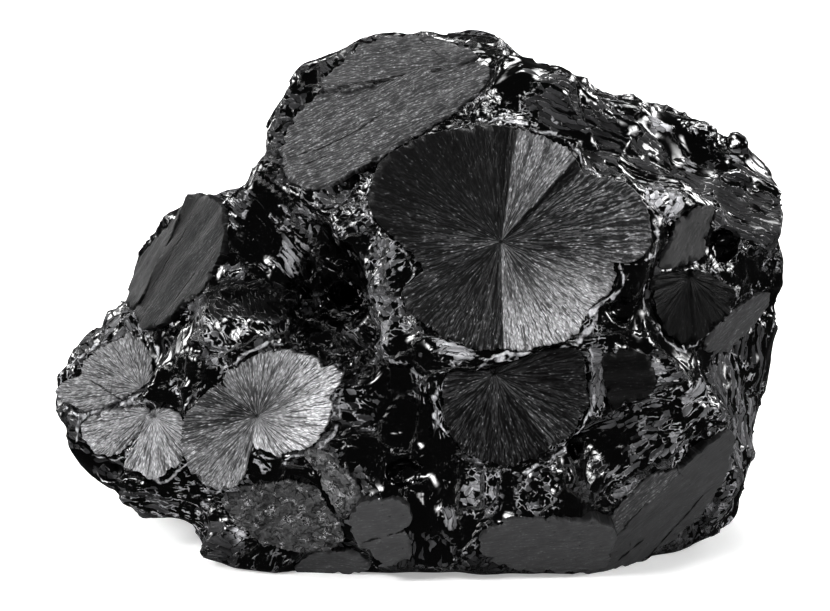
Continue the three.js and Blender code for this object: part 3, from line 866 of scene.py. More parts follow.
FACES = (
    FacePlan("great_fan", FAN, (10.8, -21, 43.7), -2, 22, (
        (-16.5, 4.8), (-16.5, 7), (-15.9, 9.2), (-14.6, 11), (-12.4, 12.3), (-10, 13.4),
        (-7.3, 14.3), (-4.4, 14.8), (-1, 14.9), (1.5, 14.5), (3.9, 13.9), (6.3, 13.1), (8.3, 11.9),
        (9.3, 10.6), (10.7, 9), (13.6, 8.4), (16, 7.3), (17.2, 6), (18.2, 4.3), (18.8, 2.1),
        (18.7, -0.1), (17.5, -1.8), (15.5, -2.5), (14.3, -2.6), (14.4, -4.1), (14.1, -5.5),
        (12.9, -6.8), (11.2, -8.3), (10.4, -10), (9.5, -11.5), (7.3, -12.6), (5.1, -13.3),
        (2.9, -13.8), (1, -13.7), (-1.2, -13.8), (-3.4, -13.7), (-5.3, -13.1), (-7.5, -11.9),
        (-9.7, -10.5), (-11.4, -9.2), (-12.3, -7.5), (-12.1, -6), (-10.9, -4.8), (-10, -3.6),
        (-10.7, -1.8), (-12.6, -0.4), (-14.1, 1.1), (-15.5, 2.6),
    ), (
        (-162, 0.13, 0.16), (-110, 0.12, 0.16), (-88, 0.13, 0.18), (-87.5, 0.36, 0.58),
        (-60, 0.27, 0.64), (-32, 0.24, 0.58), (-12, 0.2, 0.32), (20, 0.18, 0.28), (38, 0.18, 0.28),
        (44, 0.14, 0.13), (48.5, 0.12, 0.08), (49, 0.36, 0.46), (58, 0.34, 0.48), (63, 0.26, 0.32),
        (67, 0.32, 0.46), (76, 0.3, 0.38), (82, 0.32, 0.42), (82.5, 0.1, 0.08), (120, 0.12, 0.06),
        (160, 0.14, 0.09), (190, 0.3, 0.14), (197.5, 0.32, 0.15),
    ), ((49, 82, 0.7), (-87.5, -18, 0.3), (82, 197, 0.12)), creases=((13.0, 2.4, 14.6, -2.6),)),
    FacePlan("shell_fan", FAN, (-20.1, -22, 21.3), -10, 8, (
        (11, 4.9), (10.9, 6), (10.2, 6.6), (9.4, 6.8), (8.3, 6.5), (7.9, 7.1), (7.1, 7.6),
        (5.8, 8.1), (3.9, 8.4), (2.5, 8.3), (0.6, 8), (-1.2, 7.3), (-2.6, 6.2), (-3.8, 5.4),
        (-4.4, 4.5), (-4.5, 3.5), (-5.1, 3.6), (-6.2, 3.1), (-7, 2.5), (-7.8, 1.5), (-9, 0.1),
        (-9.6, -0.9), (-9.9, -2.3), (-9.7, -5.2), (-8.9, -7.1), (-8, -8.1), (-6.5, -9.2),
        (-5.1, -9.4), (-3.3, -9.4), (-2.3, -8.7), (-1.6, -7.6), (-1, -6), (-0.6, -3.9),
        (0.3, -4.2), (1.2, -4.4), (3.1, -4.9), (3.3, -4.5), (5.5, -4.3), (6.5, -3.9), (7.6, -3.2),
        (8.4, -2.2), (9, -1), (9.6, 1.5), (9.8, 3.6),
    ), (
        (-98, 0.3, 0.5), (-97.5, 0.5, 0.66), (-40, 0.46, 0.69), (0, 0.46, 0.75), (24, 0.44, 0.74),
        (25, 0.36, 0.7), (60, 0.32, 0.54), (100, 0.3, 0.46), (140, 0.28, 0.41), (141, 0.22, 0.3),
        (190, 0.24, 0.3), (215, 0.36, 0.4), (240, 0.42, 0.47), (261.5, 0.36, 0.5),
    ), ((-97.5, 24, 0.4), (24, 141, 0.2))),
    FacePlan("low_fan", FAN, (10, -26, 27.7), 5, -3, (
        (-6.3, -0.1), (-4.7, 0.5), (-2.7, 0.4), (-0.6, 0.6), (0.7, 0.9), (1.9, 1.3), (3.9, 2.2),
        (5.9, 2.9), (8.3, 3.2), (10.5, 2.9), (11.3, 1.9), (11.5, -0.3), (11.8, -2.6), (11.8, -4),
        (10.9, -5.5), (10.5, -7.5), (8.9, -9), (7.3, -9.8), (6.2, -11), (4.4, -11.6), (2.4, -12.1),
        (0.1, -11.9), (-1.3, -11.3), (-3.4, -10.2), (-5.3, -8), (-6.2, -6.3), (-6.6, -4.6),
        (-6.6, -2.4),
    ), (
        (-180, 0.17, 0.16), (-110, 0.16, 0.14), (-53.5, 0.15, 0.12), (-53, 0.23, 0.24),
        (-45, 0.2, 0.21), (-25, 0.14, 0.13), (20, 0.11, 0.09), (90, 0.12, 0.11),
    ), ((-53, 30, 0.35),)),
    FacePlan("crown_plate", PLATE, (-3.9, -9, 56.7), -15, 38, (
        (-10.5, 3.5), (-13, -2), (-13, -6), (-10.5, -9), (-6.5, -9.4), (-0.5, -5), (8.5, 2),
        (12.3, 6.5), (12, 9.5), (9, 9.8), (0, 7.3),
    ), even(0.305), grain=30.0, grit=0.8, creases=(
        (-12.6, -5.6, -8, -3.9), (-8, -3.9, -3.4, -0.9), (-3.4, -0.9, -0.6, 1.8),
        (-10.5, -6.8, -7, -5), (4.4, 7.8, 9, 9.6),
    )),
    FacePlan("crown_step", PLATE, (-3.9, -3.4, 64), -15, 42, (
        (-8, -4), (-6, 0), (-3, 3), (3, 4.8), (8, 3.6), (12, 1.8), (8, -0.6), (1.5, -2.3),
        (-5.5, -4.6),
    ), even(0.27), grain=14.0, grit=0.7, creases=(
        (-7.9, -3.8, -5.4, -4.3), (-5.4, -4.3, 1.5, -2), (1.5, -2, 8, -0.3),
        (-5.6, -4.1, -1, -2.6), (4, 4, 7, 1.4),
    )),
    FacePlan("shoulder_plate", PLATE, (-29.2, -10, 38.5), -50, 22, (
        (-4.6, 9), (-0.5, 9.2), (3.2, 8), (5, 3.5), (4, -2.5), (0.4, -5.6), (-2.5, -8.5),
        (-6.5, -9.6), (-8.8, -7.8), (-8.2, -5), (-7.4, -1.6), (-6.6, 2), (-5.8, 5.4),
    ), (
        (95, 0.12, 0.12), (118, 0.09, 0.05), (160, 0.07, 0.04), (200, 0.07, 0.05),
        (222, 0.1, 0.11), (270, 0.12, 0.13),
    ), grain=58.0, grit=0.75, creases=(
        (-6.8, -4, -3.4, 3.4), (-3.4, 3.4, -2.6, 8), (-1.8, -6, 1.4, -1),
    )),
    FacePlan("shoulder_flank", PLATE, (-33.5, -4, 39.3), -72, 25, (
        (-6.5, -8), (-9, -3.5), (-6.6, -0.6), (-4, 2), (-1.6, 4.2), (0.4, 6.8), (1, 7.4), (1.1, 4),
        (0.8, 0.4), (0.5, -3.6), (0.1, -7.8), (-3, -9),
    ), even(0.115), grain=66.0, grit=1.0),
    FacePlan("tongue_fan", FAN, (-39.8, -8, 23.7), -20, 25, (
        (-7.6, -3.6), (-7, -2), (-4.6, -0.6), (-4.8, 1), (0.5, 5), (3, 5), (5.2, 2), (5.4, -0.7),
        (0.5, -4), (-4, -5.2),
    ), even(0.46), creases=((-6.4, -0.8, -2.6, -1.5), (-2.6, -1.5, 1.9, -3.6)), hub=(4.6, -1.8)),
    FacePlan("left_leaf", FAN, (-39, -11, 16.4), -15, -5, (
        (-5, 0.5), (-1.5, 2.4), (4.4, 3.4), (4, 1.2), (0, -3), (-2.5, -3.6), (-4.7, -2.2),
    ), even(0.54), hub=(4.6, 3)),
    FacePlan("pale_leaf", FAN, (-33.8, -15, 19.5), -8, 3, (
        (-4.6, -6), (-2, -3), (-0.3, 0.5), (2.8, 0.7), (4, -1.5), (3.6, -5.6), (0.5, -8),
        (-2.5, -7.5),
    ), even(0.6)),
    FacePlan("right_fan", FAN, (35.2, -16, 38.1), 35, 5, (
        (-6.5, -0.5), (-4.5, 0.8), (2, 0.6), (5, -1), (7.6, -3), (5.5, -6.2), (2, -7.8),
        (-2, -8.2), (-5, -5),
    ), even(0.06), ((-90, -40, 0.3),)),
    FacePlan("right_flat", PLATE, (34.8, -15, 42.8), 30, 20, (
        (-5, -3.2), (-3, 0), (-0.5, 2.7), (3.5, 4.2), (5, 3.6), (3.5, 1), (2.2, -2.2), (-2, -3.3),
    ), even(0.15), grain=50.0, grit=0.15),
    FacePlan("right_blade", PLATE, (42.3, -9, 30.7), 50, -10, (
        (-7, -2.4), (-4, 0.4), (3, 3.2), (6.8, 2.8), (6.4, 0.8), (2.5, -1.8), (-2.5, -4),
    ), even(0.235), grain=30.0, grit=0.3),
    FacePlan("window_plate", PLATE, (26.1, -24, 26.5), 15, -3, (
        (-2.4, 3.2), (2.5, 3.4), (4.5, 1), (4, -2), (0.5, -3), (-0.9, -3.8), (-2, -1.5),
    ), even(0.07), grain=0.0, grit=0.5),
    FacePlan("keel_plate", PLATE, (35.1, -16, 8.5), 35, -20, (
        (-15, -8.4), (-13.8, -7.2), (-10.9, -4.1), (-8.2, -1.1), (-5.6, 1.8), (-2.9, 4.6),
        (0.5, 7.6), (4.6, 9.2), (6.2, 7.6), (6.3, 3.6), (4.6, -1.8), (1.5, -5), (-3, -8),
        (-8, -8.8), (-12, -9.2),
    ), even(0.22), grain=35.0, grit=0.12, creases=(
        (-3.4, -7.8, 0.6, -3.2), (0.6, -3.2, 3, 0.4), (-9, -7.6, -5.4, -5.2),
    )),
    FacePlan("keel_strip", PLATE, (28.9, -20.4, 9.3), 22, -8, (
        (-8.4, -5.2), (-6, -2.6), (-3, -0.2), (0.6, 3.4), (4.8, 4.4), (5.4, 3.4), (2.1, 0.6),
        (-0.7, -2.2), (-3.5, -5), (-6.6, -7.9),
    ), even(0.25), grain=42.0, grit=0.5),
    FacePlan("base_plate", PLATE, (16.5, -25, 5.2), 5, -25, (
        (-8.5, 0.4), (-6.5, 3), (-4, 4.4), (0, 4.4), (3, 3.8), (6.4, 3.4), (9, 1.6), (8.4, -3.6),
        (3.5, -4.8), (-2.5, -4.4), (-7.5, -2),
    ), even(0.24), grain=8.0, grit=0.15),
    FacePlan("thumb_fan", PLATE, (-4.2, -26, 7.1), -3, -8, (
        (-3.5, 3), (-2.6, 4), (-1, 4.5), (1.2, 4.6), (3, 4), (3.7, 2.8), (3.6, 1.2), (2.9, 0.4),
        (3.5, -0.8), (3.8, -2.4), (3.2, -4), (1.4, -4.6), (-0.6, -4.2), (-2.2, -2.8), (-3.4, -1.6),
        (-4, 0.6),
    ), even(0.245), grain=10.0, grit=0.12, creases=((-2.4, -1.4, 2.8, 0.3),)),
    FacePlan("base_leaf", PLATE, (-10.6, -21.5, 2), -8, -25, (
        (-5, -1.2), (-2.5, 1), (2.6, 1.6), (5, -0.8), (2.5, -2), (-3.6, -2.4),
    ), even(0.25), grain=0.0, grit=0.2),
    FacePlan("grain_patch", GRAIN, (-16.6, -22.6, 8.5), -12, -5, (
        (-8.4, 2), (-3, 4), (1.8, 4.5), (4.8, 2.8), (7.6, -2.8), (4, -5), (-2.4, -4.4),
        (-6.2, -2.2),
    ), even(0.25), grain=20.0, grit=0.4),
    FacePlan("grain_strip", GRAIN, (-10.1, -24.2, 13.3), -3, 0, (
        (-4, 4), (-0.5, 3.6), (2.2, 0.4), (3.5, -3), (1, -5), (-0.8, -2.4), (-2.4, 1),
    ), even(0.32), grain=-45.0, grit=0.4),
    FacePlan("back_fan", FAN, (9, 25, 33), 172, 6, (
        (-13, 2), (-10, 8.5), (-3, 11), (3, 9.6), (8.5, 10.6), (13, 5), (12.2, -2), (8, -7),
        (5.5, -11), (-1.5, -12.4), (-7, -9), (-11.6, -5.6),
    ), (
        (-130, 0.2, 0.3), (-129, 0.34, 0.5), (-80, 0.34, 0.52), (-79, 0.2, 0.22), (20, 0.18, 0.16),
        (21, 0.34, 0.48), (70, 0.36, 0.44), (71, 0.16, 0.14), (150, 0.2, 0.2),
    ), ((20, 70, 0.5), (-130, -80, 0.35))),
    FacePlan("back_shell", FAN, (-19, 22.5, 24), -163, -4, (
        (-8, 1), (-5, 6), (0, 7.6), (3.4, 6), (7.5, 5.4), (8.8, -0.6), (5, -6), (-1, -7.4),
        (-6, -4.5),
    ), ((100, 0.36, 0.5), (190, 0.34, 0.56), (191, 0.24, 0.3), (99, 0.22, 0.28)), (
        (100, 190, 0.4),
    )),
    FacePlan("back_crown", PLATE, (-4, 15.5, 57.5), -170, 44, (
        (-10.4, -3.2), (-9.6, -0.4), (-8.2, 3.4), (-6, 3.4), (-1, 6), (1.4, 5), (7.2, 5.4),
        (8.2, 4), (10.9, 0), (9.6, -1.4), (6.2, -4.8), (3.6, -3.9), (-3, -5.8), (-5.4, -4.2),
    ), even(0.3), grain=20.0, creases=((-6, -1.6, -1, 0.4), (-1, 0.4, 5, 1.6))),
    FacePlan("back_slope", PLATE, (27, 19.5, 48.5), 158, 40, (
        (-10.4, -1.4), (-9.4, 0.6), (-6.4, 4.8), (-4, 4.2), (2.2, 5.4), (4.6, 4), (9.9, 2.2),
        (9.6, 0.6), (8.2, -3.8), (6, -3.4), (1, -6), (-1.4, -4.8), (-6.2, -5), (-7.4, -3.4),
    ), even(0.24), grain=-20.0, grit=0.5, creases=((-6, 1.4, 0, 0.2), (0, 0.2, 5, -2))),
    FacePlan("right_end", GRAIN, (46.5, 9, 36), 108, 4, (
        (-6.4, 2.4), (-5.4, 3.8), (-2.6, 6.7), (-0.6, 6.2), (3.6, 7.4), (4.8, 6.6), (7.6, 1.4),
        (7.2, -0.4), (5.4, -5.2), (3.8, -5), (-0.6, -7), (-2.4, -6.2), (-6.8, -3.2), (-6, -0.4),
    ), even(0.26), grain=70.0),
    FacePlan("heel_plate", PLATE, (36, 16, 14), 140, -16, (
        (-9.2, 1.2), (-8.4, 3.4), (-4.6, 6.8), (-2.8, 6.2), (4.4, 6.6), (5.6, 5.2), (9.3, 1.6),
        (8.8, -0.6), (6.6, -5.8), (4.8, -6.2), (-1.6, -7.4), (-3.6, -6.6), (-8.6, -4),
        (-8.8, -1.6),
    ), even(0.24), grain=15.0, grit=0.4, creases=((-5, -3, 2, 0.5), (2, 0.5, 6.6, 2.2))),
    FacePlan("left_rear", FAN, (-33.5, 13, 33), -128, 16, (
        (-7, 0), (-3.6, 5.6), (3, 6.6), (7.4, 2), (5.6, -4.4), (-1, -6.6), (-6, -4.4),
    ), even(0.34)),
)


@dataclass
class CrystalFace:
    """One fan or plate as a thin closed slab whose top is the crystal face."""

    plan: FacePlan
    spacing: float = 0.22  # between spokes at the rim, in millimetres
    ring_spacing: float = 0.42
    fewest_spokes: int = 64
    fewest_rings: int = 10
    usual_rim: float = 0.8  # a rim's usual radius as a share of its largest
    rag: float = 0.3  # how ragged the rim is
    skirt: float = 1.9  # how far the slab's edge goes into the matrix
    lip: float = 0.5  # how far down the rim's first, rounded step goes
    edge_shade: float = 0.35  # reflectance of the slab's edge as a share of the rim's
    dimple: float = 0.3  # depth of a fan's centre
    chip: float = 1.4  # depth of the chips along the rim
    exposure: float = 0.85  # reflectance of a grey of 1

    def build(self, material: Material, slot: str) -> Object:
        """Makes the slab.

        Args:
            material: The finish of the face.
            slot: The record's material slot of that finish; not used.

        Returns:
            The piece.
        """
        usual = self.usual_rim * max(math.hypot(x, y) for x, y in self.plan.outline)
        spokes = max(self.fewest_spokes, round(2.0 * math.pi * usual / self.spacing))
        rings = max(self.fewest_rings, round(usual / self.ring_spacing))
        shape = bmesh.new()
        chart = shape.loops.layers.uv.new("face")
        tone, grit, crease = float_layers(shape, "tone", "grit", "crease")
        bmesh.ops.create_grid(shape, x_segments=spokes, y_segments=rings, size=0.5)
        angles = np.linspace(-math.pi, math.pi, spokes + 1)
        rims = rim_radius(self.plan.outline, angles)
        rims += [self._raggedness(angle, rim) for angle, rim in zip(angles, rims)]
        for vertex in shape.verts:
            around = round((vertex.co.x + 0.5) * spokes) % spokes
            share = vertex.co.y + 0.5
            angle, rim = angles[around], rims[around]
            x, y = math.cos(angle) * rim * share, math.sin(angle) * rim * share
            vertex.co = Vector((x, y, self._height(angle, rim, share)))
            # The grey holds the face's painted sheen and shade as well as its own grey.
            grey = self.plan.tone_at(math.degrees(angle), share)
            vertex[tone] = self.exposure * grey**SCREEN_GAMMA
            vertex[grit] = self.plan.grit
            vertex[crease] = self.plan.crease_at(x, y)
        bmesh.ops.remove_doubles(shape, verts=shape.verts, dist=SAME_PLACE)
        self._close(shape, tone)
        bmesh.ops.recalc_face_normals(shape, faces=shape.faces)
        self._chart(shape, chart)
        seat = Matrix(self.plan.axes()).transposed().to_4x4()
        seat.translation = Vector(self.plan.centre) + DATUM
        bmesh.ops.transform(shape, matrix=Matrix.Scale(MM, 4) @ seat, verts=shape.verts)
        for vertex in shape.verts:
            vertex.co.z = max(vertex.co.z, 0.0)
        for polygon in shape.faces:
            polygon.smooth = len(polygon.verts) < 5
        return new_piece(self.plan.name, shape, material)

    def _raggedness(self, angle: float, rim: float) -> float:
        """How far the rim leaves its smooth outline.

        Args:
            angle: Direction from the face's centre, in radians.
            rim: The outline's radius in that direction.

        Returns:
            The distance outwards, in millimetres.
        """
        edge = Vector((math.cos(angle), math.sin(angle), 0.0)) * rim + Vector(self.plan.centre)
        waves = 1.2 * noise.noise(edge * 0.4) + 0.5 * noise.noise(edge * 1.3)
        teeth = 0.8 * noise.noise(edge * 3.4)
        bite = max(noise.noise(edge * 0.8 + Vector((7.0, 0.0, 0.0))) - 0.3, 0.0)
        return self.rag * (waves + teeth - 5.0 * bite)

    def _height(self, angle: float, rim: float, share: float) -> float:
        """Height of the face over its plane.

        Args:
            angle: Direction from the face's centre, in radians.
            rim: The rim's radius in that direction.
            share: How far out the point is, from 0 at the centre to 1 at the rim.

        Returns:
            The height in millimetres.
        """
        x, y = math.cos(angle) * rim * share, math.sin(angle) * rim * share
        height = self.plan.lift_at(math.degrees(angle)) * smooth_share(share, 0.0, 0.25)
        if self.plan.kind is FaceKind.FAN:
            height += self._fan_relief(angle, share)
            height -= self.dimple * (1.0 - smooth_share(share * rim, 0.1, 0.7))
        else:
            height += self._plate_relief(x, y)
        if self.plan.kind is FaceKind.GRAIN:
            height += 0.5 * noise.noise(Vector((x, y, 3.0)) * 0.5)
            height += shell_scoop(Vector((x, y, self.plan.turn)), 1.6, 0.1, 0.25)
        inward = (1.0 - share) * rim
        chipped = noise.noise(Vector((x, y, self.plan.turn)) * 0.9)
        return height - max(chipped, 0.0) * self.chip * (1.0 - smooth_share(inward, 0.0, 0.5))

    @staticmethod
    def _fan_relief(angle: float, share: float) -> float:
        """Bundles of fibres, and the fibres in them, at an angle and a share of the radius."""
        bundle = noise.noise(Vector((math.cos(angle), math.sin(angle), 0.1 * share)) * 9.0)
        fibre = noise.noise(Vector((math.cos(angle), math.sin(angle), 0.05 * share)) * 32.0)
        return (0.12 * bundle + 0.05 * fibre) * smooth_share(share, 0.02, 0.4)

    def _plate_relief(self, x: float, y: float) -> float:
        """Low steps along a plate's grain, and soft waves.

        Args:
            x: Place in the plane, across.
            y: Place in the plane, up.

        Returns:
            The height in millimetres.
        """
        turned = math.radians(self.plan.grain)
        along = x * math.cos(turned) + y * math.sin(turned)
        over = y * math.cos(turned) - x * math.sin(turned)
        steps = noise.noise(Vector((along * 0.05, over * 0.5, self.plan.turn)))
        waves = noise.noise(Vector((x * 0.16, y * 0.16, self.plan.rise)))
        return 0.3 * steps + 0.3 * waves

    def _close(self, shape: BMesh, tone: BMLayerItem) -> None:
        """Carries the rim down into the matrix, darker, and closes the underside.

        Args:
            shape: The open face, flat in its plane.
            tone: The attribute that is darkened.
        """
        for drop, spread in ((self.lip, 1.01), (self.skirt, 0.98)):
            rim = [edge for edge in shape.edges if edge.is_boundary]
            for edge in rim:
                edge.smooth = False
            made = bmesh.ops.extrude_edge_only(shape, edges=rim)["geom"]
            for vertex in (part for part in made if isinstance(part, BMVert)):
                place = vertex.co
                vertex.co = Vector((place.x * spread, place.y * spread, place.z - drop))
                vertex[tone] *= self.edge_shade
        rim = [edge for edge in shape.edges if edge.is_boundary]
        bmesh.ops.holes_fill(shape, edges=rim, sides=0)

    def _chart(self, shape: BMesh, chart: BMLayerItem) -> None:
        """Lays out the face's own plane as its UV map, with a plate's grain along U.

        Args:
            shape: The face, flat in its plane.
            chart: The UV map.
        """
        turned = Matrix.Rotation(math.radians(-self.plan.grain), 2)
        for polygon in shape.faces:
            for loop in polygon.loops:
                flat = turned @ (loop.vert.co.xy - Vector(self.plan.hub))
                loop[chart].uv = flat / UV_SPAN + Vector((0.5, 0.5))


# ---- The matrix ------------------------------------------------------------------------------


@dataclass(frozen=True)
class Band:
    """A stretch of matrix whose fracture is drawn out along a line."""

    start: Place
    end: Place
    reach: float

    def pull(self, point: Vector) -> float:
        """How strongly the band holds at a point.

        Args:
            point: A point of the drawing.

        Returns:
            A share that is 1 on the band's line, and under 0 out of its reach.
        """
        start, end = Vector(self.start), Vector(self.end)
        run = min(max((point - start).dot(self.along()), 0.0), (end - start).length)
        away = (point - start - self.along() * run).length
        return 1.0 - away / self.reach

    def along(self) -> Vector:
        """Unit vector along the band."""
        return (Vector(self.end) - Vector(self.start)).normalized()


BANDS = (
    Band((12, -8, 62), (46, -4, 47), 9.0),
    Band((-24, -13, 47), (-6, -19, 31), 5.0),
    Band((-44, -7, 11), (-24, -17, 7), 6.0),
    Band((2, -26, 30.5), (26, -25, 31), 2.4),
    Band((3, -26, 24), (1, -26, 3), 4.0),
    Band((45, -8, 26), (44, -6, 4), 6.0),
    Band((24, -23, 16), (38, -15, 24), 5.0),
    Band((-42, -9, 19), (-24, -17, 26), 3.0),
    Band((14, 24, 48), (36, 20, 38), 6.0),
    Band((-30, 17, 16), (-6, 24, 12), 6.0),
)


GLINT_SEAMS = (
    ((17.9, -14.9, 58), (23.6, -14, 54), (30.3, -11, 50.5), (39.5, -5.7, 46.7)),
    ((17.4, -15.4, 56.6), (23.2, -14.6, 52.6), (29.8, -11.6, 49.2)),
    ((13.2, -9.5, 64.8), (15.4, -12.2, 61.6), (17.6, -14.8, 58.2)),
    ((20.5, -13.6, 57.6), (28, -9.8, 53.2), (36.2, -5.2, 49.2)),
    ((-43.2, -7.5, 14.4), (-38.6, -11.4, 13.4), (-33.6, -14.2, 12.2)),
    ((22.4, -24.9, 31.6), (22.2, -24.6, 28), (22.6, -24, 23.4)),
)  # lines of painted highlight: thin pale crests of glass, through these points


@dataclass(frozen=True)
class Zone:
    """A spot of matrix with a look of its own.

    crinkle goes from 0, a smooth lens, to 1, crumpled. dull goes from 0, glassy, to 1, made of
    grey facets, and tone is the grey of those facets; the palest spots are painted highlights.
    A spot with an end is drawn out to it.
    """

    place: Place
    reach: float
    crinkle: float
    dull: float = 0.0
    tone: float = 0.3
    end: Optional[Place] = None

    def share(self, point: Vector) -> float:
        """How far a point of the drawing takes on the look, from 0 to 1."""
        away = off_line(point, Vector(self.place), Vector(self.end or self.place))
        return 1.0 - smooth_share(away, self.reach * 0.6, self.reach)


